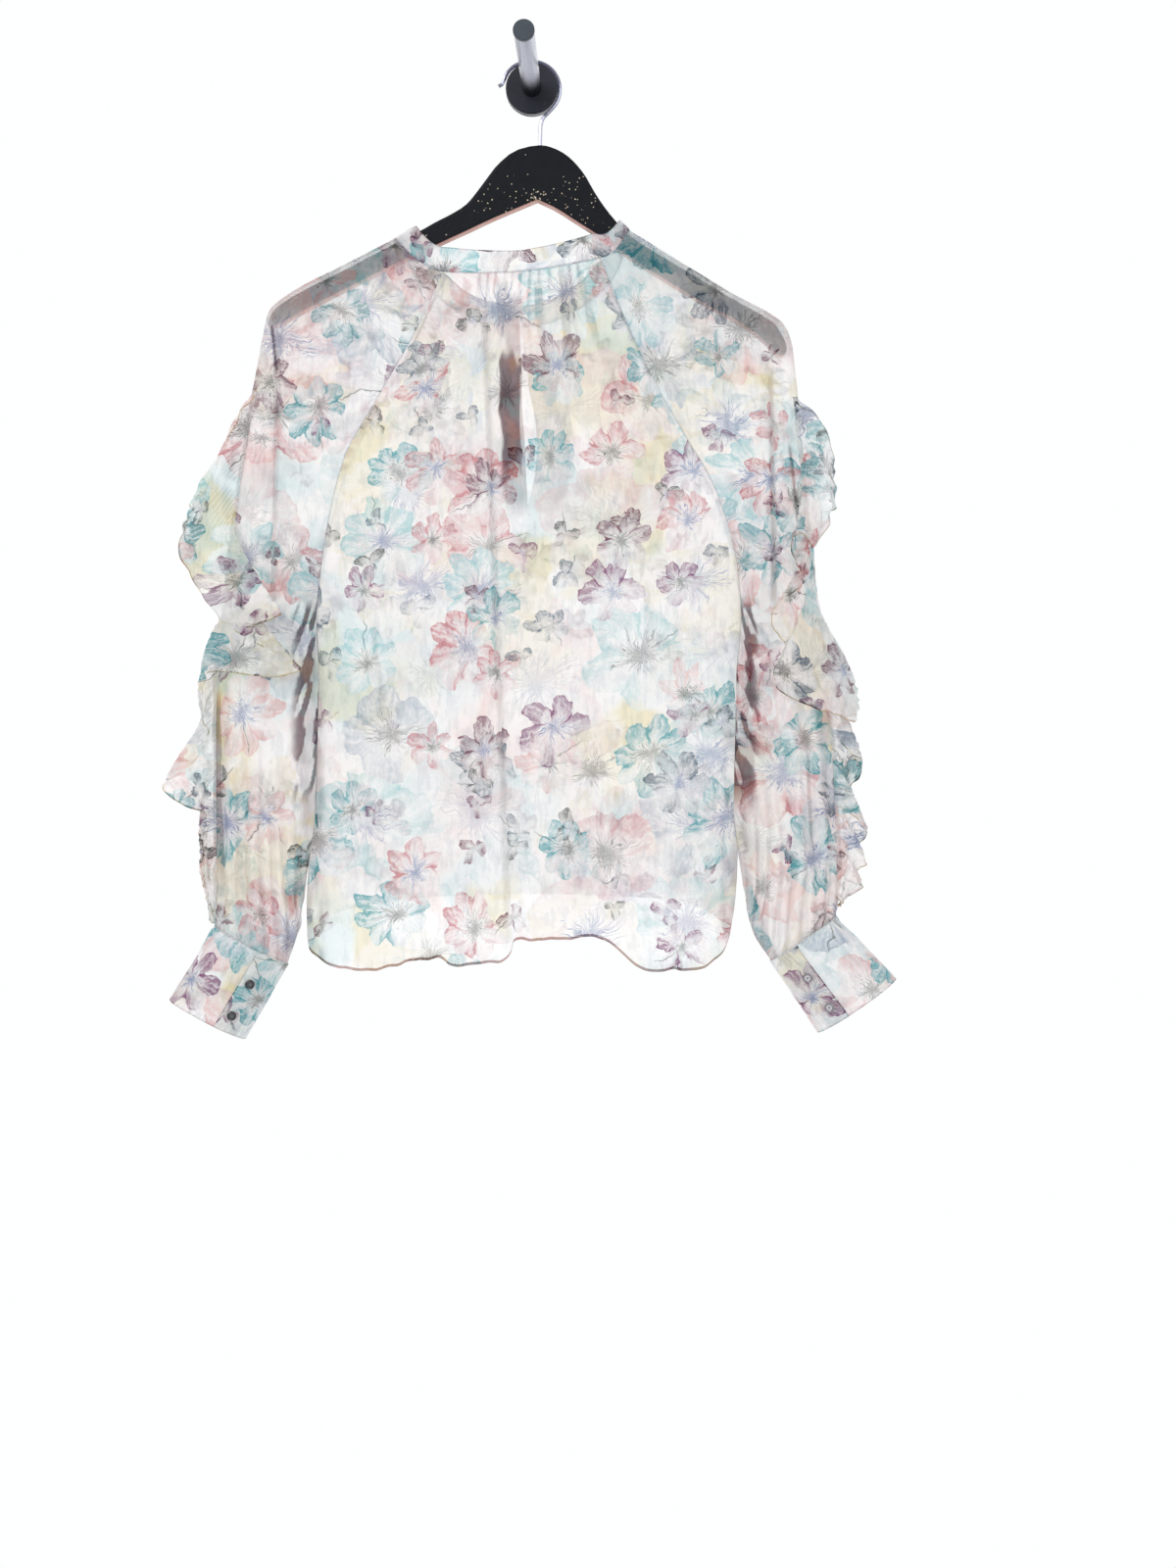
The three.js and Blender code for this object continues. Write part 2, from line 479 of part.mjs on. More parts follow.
function backPanel() {
  const rows = RAGLAN_ROWS + SIDE_ROWS;
  const grid = [];
  const fixed = [];
  const pulls = [];
  for (let i = 0; i <= rows; i += 1) {
    const line = [];
    for (let j = 0; j <= BACK_COLUMNS; j += 1) {
      line.push(bodyPoint(BACK_LAYER, i, j / BACK_COLUMNS));
    }
    grid.push(line);
    fixed.push([i, 0, TO_CAMERA], [i, BACK_COLUMNS, TO_CAMERA]);
    pulls.push([i, 0, i, 1], [i, BACK_COLUMNS, i, BACK_COLUMNS - 1]);
  }
  for (let j = 0; j <= BACK_COLUMNS; j += 1) {
    fixed.push([0, j, TO_CAMERA]);
    pulls.push([0, j, 1, j]);
  }
  return gridSolid(grid, fixed, pulls, false).geometry;
}

// The front is two halves that share their middle points below the slit
function frontPanel() {
  const rows = RAGLAN_ROWS + SIDE_ROWS;
  const points = [];
  const fixed = new Map();
  const pulls = [];
  const ids = { left: [], right: [] };
  for (let i = 0; i <= rows; i += 1) {
    const sides = { left: [], right: [] };
    const whole = [bodyPoint(FRONT_LAYER, i, 0).x, bodyPoint(FRONT_LAYER, i, 1).x];
    const open = i < SLIT.length;
    const slit = open ? SLIT[i] : { left: SLIT_END_X, right: SLIT_END_X };
    const lower = clamp01((i - SLIT.length) / (rows - SLIT.length));
    const middle = { left: slit.left, right: slit.right };
    if (!open) {
      middle.left = mix(SLIT_END_X, (whole[0] + whole[1]) / 2, lower);
      middle.right = middle.left;
    }
    for (const side of ["left", "right"]) {
      for (let j = 0; j <= FRONT_HALF_COLUMNS; j += 1) {
        const t = j / FRONT_HALF_COLUMNS;
        const x = side === "left" ? mix(whole[0], middle.left, t)
          : mix(middle.right, whole[1], t);
        const shared = !open && side === "right" && j === 0;
        if (shared) {
          sides.right.push(sides.left[FRONT_HALF_COLUMNS]);
          continue;
        }
        const across = (x - whole[0]) / (whole[1] - whole[0]);
        const point = bodyPoint(FRONT_LAYER, i, across);
        sides[side].push(points.length);
        points.push(point);
      }
    }
    const edgeLeft = sides.left[0];
    const edgeRight = sides.right[FRONT_HALF_COLUMNS];
    fixed.set(edgeLeft, TO_WALL);
    fixed.set(edgeRight, TO_WALL);
    pulls.push([edgeLeft, sides.left[1], SEAM_GAP / 2]);
    pulls.push([edgeRight, sides.right[FRONT_HALF_COLUMNS - 1], SEAM_GAP / 2]);
    ids.left.push(sides.left);
    ids.right.push(sides.right);
  }
  const faces = [];
  for (const side of ["left", "right"]) {
    const grid = ids[side];
    for (let i = 0; i < rows; i += 1) {
      for (let j = 0; j < FRONT_HALF_COLUMNS; j += 1) {
        faces.push([grid[i][j], grid[i][j + 1], grid[i + 1][j + 1], grid[i + 1][j]]);
      }
    }
    for (let j = 0; j <= FRONT_HALF_COLUMNS; j += 1) {
      fixed.set(grid[0][j], TO_WALL);
      pulls.push([grid[0][j], grid[1][j], SEAM_GAP / 2]);
    }
  }
  return clothSolid(points, faces, fixed, pulls).geometry;
}

// A sleeve: how far down it goes (0 neck, 1 underarm, 2 cuff) and round its section
function sleeveLines(arm) {
  return {
    arm,
    back: smoothLine(arm.raglanBack),
    front: smoothLine(arm.raglanFront),
    shoulder: smoothLine(arm.shoulderLine),
    outer: smoothLine(arm.forearmOuter),
    inner: smoothLine(arm.forearmInner),
  };
}

const LEFT_LINES = sleeveLines(LEFT);
const RIGHT_LINES = sleeveLines(RIGHT);

function sleevePoint(lines, folds, down, a, way) {
  const upper = down <= 1;
  const seam = upper
    ? alongLine(way < 0 ? lines.back : lines.front, down)
    : alongLine(lines.inner, down - 1);
  const edge = upper ? alongLine(lines.shoulder, down) : alongLine(lines.outer, down - 1);
  const x = mix(seam.x, edge.x, a);
  const sag = 6 * Math.max(0, 1 - down / 0.25) * 4 * a * (1 - a);
  const z = mix(seam.z, edge.z, a) - sag;
  const edgeDepth = upper ? readTable(SEAM_DEPTH, down, "depth") : LAYER;
  const full = Math.max(edgeDepth, readTable(SLEEVE_SECTIONS, down, "depth"));
  const squareness = readTable(SLEEVE_SECTIONS, down, "squareness");
  const inside = Math.max(0, 1 - (1 - a) ** squareness) ** (1 / squareness);
  const loose = 4 * a * (1 - a) * ease(down / 0.12) * ease((2 - down) / 0.1);
  const height = foldHeight(folds, x, z) * loose * (way < 0 ? 1 : 0.7);
  let depth = mix(edgeDepth, full, inside) * outerRound(a, squareness) + height;
  if (a > 0.999) depth = 0;
  return new THREE.Vector3(x, HANG_Y + way * depth, z);
}

// Places round a sleeve's section, from the back seam over the outer edge to the front seam
function sleeveRound() {
  const places = [];
  for (let j = 0; j <= 2 * SLEEVE_COLUMNS; j += 1) {
    const step = j <= SLEEVE_COLUMNS ? j : 2 * SLEEVE_COLUMNS - j;
    const a = (1 - Math.cos(Math.PI * step / SLEEVE_COLUMNS)) / 2;
    places.push({ a, way: j <= SLEEVE_COLUMNS ? -1 : 1, ripple: j % 2 ? 1 : -1 });
  }
  return places;
}

function sleeveGrid(lines, folds) {
  const grid = [];
  const rows = RAGLAN_ROWS + FOREARM_ROWS;
  for (let i = 0; i <= rows; i += 1) {
    const down = i <= RAGLAN_ROWS ? ARMHOLE_STOPS[i] : 1 + (i - RAGLAN_ROWS) / FOREARM_ROWS;
    const gathers = 1.5 * ease((down - 1.6) / 0.25) * ease((2 - down) / 0.1);
    grid.push(sleeveRound().map(({ a, way, ripple }) => {
      const point = sleevePoint(lines, folds, down, a, way);
      point.y += way * ripple * gathers * Math.min(1, 4 * a * (1 - a) * 1.5);
      return point;
    }));
  }
  return grid;
}

function sleeve(lines, folds) {
  const grid = sleeveGrid(lines, folds);
  const last = grid.length - 1;
  const end = 2 * SLEEVE_COLUMNS;
  const fixed = [];
  const pulls = [];
  const flip = lines.arm.side < 0;
  const plain = gridSolid(grid, [], [], flip);
  for (let i = 0; i <= last; i += 1) {
    fixed.push([i, 0, TO_CAMERA], [i, end, TO_WALL]);
    pulls.push([i, 0, i, 1], [i, end, i, end - 1]);
  }
  const axis = new THREE.Vector3(lines.arm.cuffAxis.x, 0, lines.arm.cuffAxis.z);
  const topNormals = [];
  for (let j = 0; j <= end; j += 1) {
    let top = plain.normals[j].clone();
    if (j === 0) top = TO_CAMERA.clone();
    if (j === end) top = TO_WALL.clone();
    topNormals.push(top);
    const bottom = plain.normals[last * plain.columns + j].clone();
    bottom.addScaledVector(axis, -bottom.dot(axis)).normalize();
    fixed.push([0, j, top]);
    pulls.push([0, j, 1, j], [last, j, last - 1, j]);
    if (j > 0 && j < end) fixed.push([last, j, bottom]);
  }
  const solid = gridSolid(grid, fixed, pulls, flip);
  return { geometry: solid.geometry, top: grid[0], topNormals };
}

// The neck band follows the seam points of the pieces below it
function seamStations(leftSleeve, rightSleeve) {
  const stations = [];
  const add = (point, normal, from, to, t) => {
    const rise = new THREE.Vector3(mix(from.x, to.x, t), mix(from.y, to.y, t),
      mix(from.z, to.z, t));
    stations.push({ point, normal, rise });
  };
  const rise = BAND_RISE;
  const half = FRONT_HALF_COLUMNS;
  for (let j = 0; j < half; j += 1) {
    const x = mix(SLIT[0].left, LEFT.raglanFront[0].x, j / half);
    add(frontNeckPoint(x), TO_WALL, rise.centreFront, rise.leftFront, j / half);
  }
  const count = SLEEVE_COLUMNS;
  for (let j = 2 * count; j >= 0; j -= 1) {
    const front = j >= count;
    const t = front ? (2 * count - j) / count : (count - j) / count;
    const from = front ? rise.leftFront : rise.leftShoulder;
    const to = front ? rise.leftShoulder : rise.leftBack;
    add(leftSleeve.top[j], leftSleeve.topNormals[j], from, to, shoulderShare(t));
  }
  const backSteps = BACK_COLUMNS / 2;
  for (let j = 1; j < backSteps; j += 1) {
    const across = j / backSteps;
    const t = across < 0.5 ? across * 2 : across * 2 - 1;
    const from = across < 0.5 ? rise.leftBack : rise.centreBack;
    const to = across < 0.5 ? rise.centreBack : rise.rightBack;
    add(bodyPoint(BACK_LAYER, 0, across), TO_CAMERA, from, to, t);
  }
  for (let j = 0; j <= 2 * count; j += 1) {
    const back = j <= count;
    const t = back ? j / count : (j - count) / count;
    const from = back ? rise.rightBack : rise.rightShoulder;
    const to = back ? rise.rightShoulder : rise.rightFront;
    add(rightSleeve.top[j], rightSleeve.topNormals[j], from, to, shoulderShare(t));
  }
  for (let j = 1; j <= half; j += 1) {
    const x = mix(RIGHT.raglanFront[0].x, SLIT[0].right, j / half);
    add(frontNeckPoint(x), TO_WALL, rise.rightFront, rise.centreFront, j / half);
  }
  return stations;
}

// Points crowd together over the shoulder, so the band leans more slowly from each
function shoulderShare(t) {
  return (1 - Math.cos(Math.PI * t)) / 2;
}

function frontNeckPoint(x) {
  const left = LEFT.raglanFront[0].x;
  const right = RIGHT.raglanFront[0].x;
  return bodyPoint(FRONT_LAYER, 0, (x - left) / (right - left));
}

function neckBand(leftSleeve, rightSleeve) {
  const stations = seamStations(leftSleeve, rightSleeve);
  const bandRows = 2;
  const grid = [];
  const fixed = [];
  const pulls = [];
  for (let i = 0; i <= bandRows; i += 1) {
    grid.push(stations.map(({ point, rise }) => (
      point.clone().addScaledVector(rise, 1 - i / bandRows))));
    stations.forEach(({ normal }, j) => fixed.push([i, j, normal]));
  }
  stations.forEach((station, j) => pulls.push([bandRows, j, bandRows - 1, j]));
  return gridSolid(grid, fixed, pulls, false).geometry;
}

// A cuff: a band wound once round and a little over its own start
function cuffFrame(arm, lines) {
  const inner = alongLine(lines.inner, 1);
  const outer = alongLine(lines.outer, 1);
  const centre = inner.clone().add(outer).multiplyScalar(0.5);
  centre.y = HANG_Y;
  const across = inner.clone().sub(outer).normalize();
  const halfWidth = inner.distanceTo(outer) / 2;
  const axis = new THREE.Vector3(arm.cuffAxis.x, 0, arm.cuffAxis.z);
  return { centre, across, halfWidth, axis, widen: arm.cuffWiden };
}

const CUFF = {
  startDegrees: 36,      // where the under end starts, on the camera's side
  turnDegrees: 398,      // how far the band goes round
  depth: 22,             // half the cuff's depth at its top
  columns: 34,
  rows: 1,
};

function cuffPoint(frame, degrees, down, lift) {
  const angle = THREE.MathUtils.degToRad(degrees);
  const grow = mix(1, frame.widen, down);
  const width = frame.halfWidth * grow + lift;
  const depth = CUFF.depth * grow + lift;
  const point = frame.centre.clone().addScaledVector(frame.axis, CUFF_HEIGHT * down);
  point.addScaledVector(frame.across, width * Math.cos(angle));
  point.y -= depth * Math.sin(angle);
  return point;
}

function cuffLift(turned) {
  return CUFF_OVERLAP_LIFT * ease((turned - 300) / 50);
}

function cuff(arm, lines) {
  const frame = cuffFrame(arm, lines);
  const grid = [];
  const pulls = [];
  for (let i = 0; i <= CUFF.rows; i += 1) {
    const line = [];
    for (let j = 0; j <= CUFF.columns; j += 1) {
      const turned = CUFF.turnDegrees * j / CUFF.columns;
      line.push(cuffPoint(frame, CUFF.startDegrees + turned, i / CUFF.rows, cuffLift(turned)));
    }
    grid.push(line);
  }
  for (let j = 0; j <= CUFF.columns; j += 1) pulls.push([0, j, 1, j]);
  return gridSolid(grid, [], pulls, arm.side < 0).geometry;
}

// A round button standing 0.3 mm off the cuff's outer layer
function cuffButton(arm, lines, down) {
  const frame = cuffFrame(arm, lines);
  const degrees = CUFF.startDegrees + CUFF.turnDegrees - 360 - 13;
  const place = cuffPoint(frame, degrees, down, CUFF_OVERLAP_LIFT);
  const beside = cuffPoint(frame, degrees + 2, down, CUFF_OVERLAP_LIFT);
  const tangent = beside.sub(place).normalize();
  const normal = frame.axis.clone().cross(tangent).normalize();
  if (normal.y > 0) normal.negate();
  const radius = BUTTON_DIAMETER / 2;
  const half = BUTTON_THICKNESS / 2;
  const profile = [
    [0, -half], [radius * 0.8, -half], [radius, -half * 0.4], [radius, half * 0.5],
    [radius * 0.86, half], [radius * 0.66, half * 0.6], [0, half * 0.6],
  ].map(([x, y]) => new THREE.Vector2(x, y));
  const geometry = new THREE.LatheGeometry(profile, 14);
  const turn = new THREE.Quaternion().setFromUnitVectors(new THREE.Vector3(0, 1, 0), normal);
  place.addScaledVector(normal, WALL / 2 + SEAM_GAP + half + 0.25);
  return { geometry, turn, place };
}

// A ruffle: a strip rooted along the sleeve, its free edge swinging in and out
function downAtEdge(lines, z) {
  let low = 0;
  let high = 2;
  for (let i = 0; i < 40; i += 1) {
    const middle = (low + high) / 2;
    const edge = middle <= 1 ? alongLine(lines.shoulder, middle)
      : alongLine(lines.outer, middle - 1);
    if (edge.z > z) low = middle;
    else high = middle;
  }
  return (low + high) / 2;
}

const RUFFLE_SEAM = 0.94;    // how far toward the outer edge the ruffle's seam lies
const RUFFLE_CLEAR = 3;      // least way from the sleeve's middle to the ruffle's

function sleeveNormal(lines, folds, down, a) {
  const here = sleevePoint(lines, folds, down, a, -1);
  const across = sleevePoint(lines, folds, down, a + 0.02, -1).sub(here);
  const along = sleevePoint(lines, folds, down + 0.01, a, -1).sub(here);
  const normal = across.cross(along).normalize();
  if (normal.y > 0) normal.negate();
  return { here, normal };
}

// Moves a ruffle's point out of the sleeve: past its outer edge, or on to its near side
function keepClear(lines, folds, point, near) {
  const side = lines.arm.side;
  const down = downAtEdge(lines, point.z);
  const edge = sleevePoint(lines, folds, down, 1, -1);
  const seam = sleevePoint(lines, folds, down, 0, -1);
  const beyond = side * (point.x - edge.x);
  if (beyond > RUFFLE_CLEAR) return point;
  if (near < 2) {
    point.x = edge.x + side * RUFFLE_CLEAR;
    return point;
  }
  let closest = HANG_Y;
  for (const shift of [-0.06, 0, 0.06]) {
    const a = clamp01((point.x - seam.x) / (edge.x - seam.x) + shift);
    closest = Math.min(closest, sleevePoint(lines, folds, down, a, -1).y);
  }
  point.y = Math.min(point.y, closest - RUFFLE_CLEAR);
  return point;
}

function smoothRuffle(table) {
  const stops = table.map((row) => new THREE.Vector3(row.out, row.near, row.drop));
  const curve = new THREE.CatmullRomCurve3(stops, false, "centripetal");
  const rows = [];
  const count = (table.length - 1) * RUFFLE_STEPS;
  for (let i = 0; i <= count; i += 1) {
    const swing = curve.getPoint(i / count);
    const k = Math.min(table.length - 2, Math.floor(i / RUFFLE_STEPS));
    const at = mix(table[k].at, table[k + 1].at, i / RUFFLE_STEPS - k);
    rows.push({ at, out: swing.x, near: swing.y, drop: swing.z });
  }
  return rows;
}

function ruffle(lines, folds, table) {
  const side = lines.arm.side;
  const rows = smoothRuffle(table);
  const grid = [];
  for (let i = 0; i <= RUFFLE_ROWS; i += 1) {
    const w = i / RUFFLE_ROWS;
    grid.push(rows.map(({ at, out, near, drop }) => {
      const down = downAtEdge(lines, at);
      const { here, normal } = sleeveNormal(lines, folds, down, RUFFLE_SEAM);
      const root = here.addScaledVector(normal, RUFFLE_ROOT);
      const inward = ease(-out / 10);
      const billow = Math.sin(Math.PI * w) * mix(2 + 0.12 * drop, 7, inward);
      const swing = mix(w, w ** 0.75, inward);
      const point = new THREE.Vector3(
        root.x + side * out * w + side * billow * (1 - inward),
        root.y - near * swing - billow * inward,
        root.z - drop * w,
      );
      return i === 0 ? point : keepClear(lines, folds, point, near);
    }));
  }
  return gridSolid(grid, [], [], side > 0).geometry;
}

// The hanger, its hook and the peg
function hangerBody() {
  const shape = new THREE.Shape();
  const corner = HANGER_OUTLINE[0];
  const stops = HANGER_OUTLINE.concat([corner]).map(({ x, z }) => new THREE.Vector3(x, z, 0));
  const line = new THREE.CatmullRomCurve3(stops, false, "centripetal");
  const round = line.getPoints(HANGER_STEPS).slice(0, -1);
  shape.setFromPoints(round.map(({ x, y }) => new THREE.Vector2(x, y)));
  const geometry = new THREE.ExtrudeGeometry(shape, {
    depth: HANGER_THICKNESS - 2 * HANGER_BEVEL,
    bevelEnabled: true,
    bevelThickness: HANGER_BEVEL,
    bevelSize: HANGER_BEVEL,
    bevelOffset: -HANGER_BEVEL,
    bevelSegments: 2,
    steps: 1,
  });
  geometry.rotateX(Math.PI / 2);
  geometry.translate(0, HANG_Y + HANGER_THICKNESS / 2 - HANGER_BEVEL, 0);
  return geometry;
}

function hookWire() {
  const stops = HOOK_LINE.map(({ x, z }) => new THREE.Vector3(x, HANG_Y, z));
  const path = new THREE.CatmullRomCurve3(stops, false, "centripetal");
  const circle = new THREE.Shape();
  const sides = 8;
  for (let i = 0; i < sides; i += 1) {
    const angle = 2 * Math.PI * i / sides;
    const x = Math.cos(angle) * HOOK_WIRE / 2;
    const y = Math.sin(angle) * HOOK_WIRE / 2;
    if (i === 0) circle.moveTo(x, y);
    else circle.lineTo(x, y);
  }
  circle.closePath();
  return new THREE.ExtrudeGeometry(circle, { steps: 36, extrudePath: path, bevelEnabled: false });
}

// A turned piece on the peg's axis, from profile points of radius and distance off the wall
function turned(profile, segments) {
  const points = profile.map(({ radius, off }) => new THREE.Vector2(radius, off));
  const geometry = new THREE.LatheGeometry(points, segments);
  geometry.rotateX(Math.PI);
  return geometry;
}

function flange() {
  const radius = FLANGE_DIAMETER / 2;
  return turned([
    { radius: 0, off: 0 }, { radius, off: 0 }, { radius, off: FLANGE_THICKNESS - 1.5 },
    { radius: radius - 1.5, off: FLANGE_THICKNESS }, { radius: 0, off: FLANGE_THICKNESS },
  ], 40);
}

function pegRod() {
  const radius = PEG_DIAMETER / 2;
  const start = FLANGE_THICKNESS + 2 * SEAM_GAP;
  const end = PEG_LENGTH - CAP_LENGTH - SEAM_GAP;
  return turned([
    { radius: 0, off: start }, { radius, off: start }, { radius, off: end },
    { radius: 0, off: end },
  ], 32);
}

function pegCap() {
  const radius = CAP_DIAMETER / 2;
  const start = PEG_LENGTH - CAP_LENGTH;
  return turned([
    { radius: 0, off: start }, { radius, off: start }, { radius, off: PEG_LENGTH - 0.8 },
    { radius: radius - 0.8, off: PEG_LENGTH }, { radius: 0, off: PEG_LENGTH },
  ], 32);
}

// The looks, one material for each mesh
function clothLook() {
  return new THREE.MeshStandardMaterial({ color: 0xe9e4e0, roughness: 0.85, metalness: 0 });
}

function bandLook() {
  return new THREE.MeshStandardMaterial({ color: 0xe2dedb, roughness: 0.85, metalness: 0 });
}

function buttonLook() {
  return new THREE.MeshStandardMaterial({ color: 0x8f9196, roughness: 0.25, metalness: 0 });
}

function woodLook() {
  return new THREE.MeshStandardMaterial({ color: 0x0b0b0c, roughness: 0.5, metalness: 0 });
}

function wireLook() {
  return new THREE.MeshStandardMaterial({ color: 0xc9ccd0, roughness: 0.25, metalness: 1 });
}

function rodLook() {
  return new THREE.MeshStandardMaterial({ color: 0xb9bcc2, roughness: 0.22, metalness: 1 });
}

function blackLook() {
  return new THREE.MeshStandardMaterial({ color: 0x17181a, roughness: 0.42, metalness: 0 });
}

function addMesh(group, name, geometry, material) {
  const mesh = new THREE.Mesh(geometry, material);
  mesh.name = name;
  group.add(mesh);
  return mesh;
}

function addButtons(group, label, arm, lines) {
  [0.37, 0.79].forEach((down, i) => {
    const button = cuffButton(arm, lines, down);
    const name = "button_" + label + "_" + (i + 1);
    const mesh = addMesh(group, name, button.geometry, buttonLook());
    mesh.quaternion.copy(button.turn);
    mesh.position.copy(button.place);
  });
}

function buildBlouse() {
  const group = new THREE.Group();
  const left = sleeve(LEFT_LINES, LEFT_SLEEVE_FOLDS);
  const right = sleeve(RIGHT_LINES, RIGHT_SLEEVE_FOLDS);
  addMesh(group, "back_panel", backPanel(), clothLook());
  addMesh(group, "front_panel", frontPanel(), clothLook());
  addMesh(group, "sleeve_left", left.geometry, clothLook());
  addMesh(group, "sleeve_right", right.geometry, clothLook());
  addMesh(group, "neck_band", neckBand(left, right), bandLook());
  addMesh(group, "cuff_left", cuff(LEFT, LEFT_LINES), bandLook());
  addMesh(group, "cuff_right", cuff(RIGHT, RIGHT_LINES), bandLook());
  addMesh(group, "ruffle_left", ruffle(LEFT_LINES, LEFT_SLEEVE_FOLDS, LEFT_RUFFLE), clothLook());
  addMesh(group, "ruffle_right", ruffle(RIGHT_LINES, RIGHT_SLEEVE_FOLDS, RIGHT_RUFFLE), clothLook());
  addButtons(group, "left", LEFT, LEFT_LINES);
  addButtons(group, "right", RIGHT, RIGHT_LINES);
  return group;
}

function buildHolder() {
  const group = new THREE.Group();
  addMesh(group, "hanger_body", hangerBody(), woodLook());
  addMesh(group, "hanger_hook", hookWire(), wireLook());
  const peg = new THREE.Group();
  const way = new THREE.Vector3(PEG_LEAN.x, -PEG_LENGTH, PEG_LEAN.z).normalize();
  peg.quaternion.setFromUnitVectors(new THREE.Vector3(0, -1, 0), way);
  addMesh(peg, "peg_rod", pegRod(), rodLook());
  addMesh(peg, "peg_cap", pegCap(), blackLook());
  group.add(peg);
  addMesh(group, "peg_flange", flange(), blackLook());
  return group;
}

const blouse = new THREE.Group();
blouse.add(buildBlouse());
blouse.add(buildHolder());

export default blouse;
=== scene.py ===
"""A sheer flowered blouse on a wooden hanger, hung from a wall peg and seen from its back."""
import math

import bpy
import numpy as np
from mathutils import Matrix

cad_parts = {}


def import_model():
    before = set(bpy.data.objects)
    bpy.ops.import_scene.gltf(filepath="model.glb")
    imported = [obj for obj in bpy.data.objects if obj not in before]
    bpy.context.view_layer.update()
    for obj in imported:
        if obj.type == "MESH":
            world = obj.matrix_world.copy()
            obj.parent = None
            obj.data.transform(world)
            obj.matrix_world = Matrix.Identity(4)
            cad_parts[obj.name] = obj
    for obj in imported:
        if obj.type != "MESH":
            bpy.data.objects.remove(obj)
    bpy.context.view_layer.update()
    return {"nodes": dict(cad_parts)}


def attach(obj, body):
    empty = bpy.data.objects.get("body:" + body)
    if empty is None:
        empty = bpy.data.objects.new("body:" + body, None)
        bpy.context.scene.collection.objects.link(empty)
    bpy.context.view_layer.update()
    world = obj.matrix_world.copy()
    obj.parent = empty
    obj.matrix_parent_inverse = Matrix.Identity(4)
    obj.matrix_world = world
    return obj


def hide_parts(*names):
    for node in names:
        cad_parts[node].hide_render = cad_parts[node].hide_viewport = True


# Sizes of the garment, in millimetres
MM = 0.001
HANG_Y = -45.0            # the plane of the hanger and of the side seams
LAYER = 0.75              # from the seam plane to a layer's middle
SHELL = 0.4               # how thick a sheet of chiffon is drawn
DOUBLED_SHELL = 0.8       # a band of two layers
ARMHOLE_SHARE = 0.5       # the armhole's share of the body's height
CUFF_HEIGHT = 72.0
CUFF_DEPTH = 22.0
CUFF_START = 36.0         # degrees
CUFF_TURN = 398.0         # degrees that the band goes round
CUFF_OVERLAP_LIFT = 1.9
SHOULDER_END = 0.46       # how far down a sleeve the shoulder's line turns down
SLEEVE_OVERLAP = 7.0      # how far a sleeve leans over the body's side below the underarm
SLEEVE_SAG = 6.0          # how far a sleeve's top hangs between its seam and its edge
RUFFLE_ROOT = 1.7         # from the sleeve's middle to the ruffle's root
RUFFLE_SEAM = 0.94        # how far toward the outer edge the ruffle's seam lies
RUFFLE_CLEAR = 3.0
SLIT_END_X = -2.8
SLIT_END_DOWN = 0.325
SLIT_TOP = -211.0
FRONT_DROP = 481.0        # the front's height at its middle
BODY_MIDDLE = -6.0

# How far apart the small creases stand, and how high
GATHER_SPACING, GATHER_HEIGHT = 8.2, 1.5
PLEAT_SPACING, PLEAT_HEIGHT = 10.5, 2.1
SLACK_HEIGHT, RUMPLE_HEIGHT, BUNCH_HEIGHT = 1.5, 1.6, 2.4
LETTUCE_SPACING, LETTUCE_HEIGHT = 29, 1.7
ROOT_SPACING, ROOT_HEIGHT = 6.5, 1.3
LAP_WIDTH = 6.0           # how far a knife fold lays the cloth double

# The back's gathers: seed, left and right end, and how far they reach down
BACK_GATHERS = (21, -46, 58, 165)
FRONT_GATHERS = (71, -62, 52, 120)

# The strips along the slit's two sides, laid double and painted dark as shade: how dark, how wide,
# how uneven, how soft
SLIT_STRIPS = ((2.7, 19, 1.5, 1.5), (1.2, 26, 9, 6))

# How fine the sheets are
BACK_ROWS, BACK_COLUMNS = 250, 180
FRONT_ROWS, FRONT_HALF_COLUMNS = 210, 78
SLEEVE_ROWS, SLEEVE_COLUMNS = 250, 66
RUFFLE_FINE, RUFFLE_ROWS = 6, 4   # steps between two places of a ruffle's net
CUFF_ROWS, CUFF_COLUMNS = 26, 210
BAND_ROWS = 10
NOISE_SIZE = 64

# The looks
THROUGH_SHARE = 0.42      # the share of the light on the cloth that goes through it
MOST_HIDDEN = 0.95        # the most that one sheet hides
STEM_WIDTH = 0.0007       # half of a stem's width, in metres
HANGER_CORNER = (0.0057, -0.05, -0.108)   # the corner under its neck, in metres

# The camera stands where the photograph was taken from
CAMERA_PLACE = (0.0482, -1.8, -0.5976)
CAMERA_LENS = 47.925
CAMERA_SENSOR = 36.0
FLOOR_HEIGHT = -1.46
FLOOR_SIZE = 4.0

# The room's own light on the object, and each soft lamp: name, place, aim, size, power
ROOM_STRENGTH = 0.72
LIGHTS = (
    ("key", (-1.5, -1.9, 0.9), (0, 0, -0.4), (1.4, 1.4), 34),
    ("fill", (1.7, -1.6, 0.1), (0, 0, -0.45), (1.2, 1.6), 12),
    ("behind", (0.2, 1.4, -0.3), (0, 0, -0.45), (1.6, 1.6), 10),
)

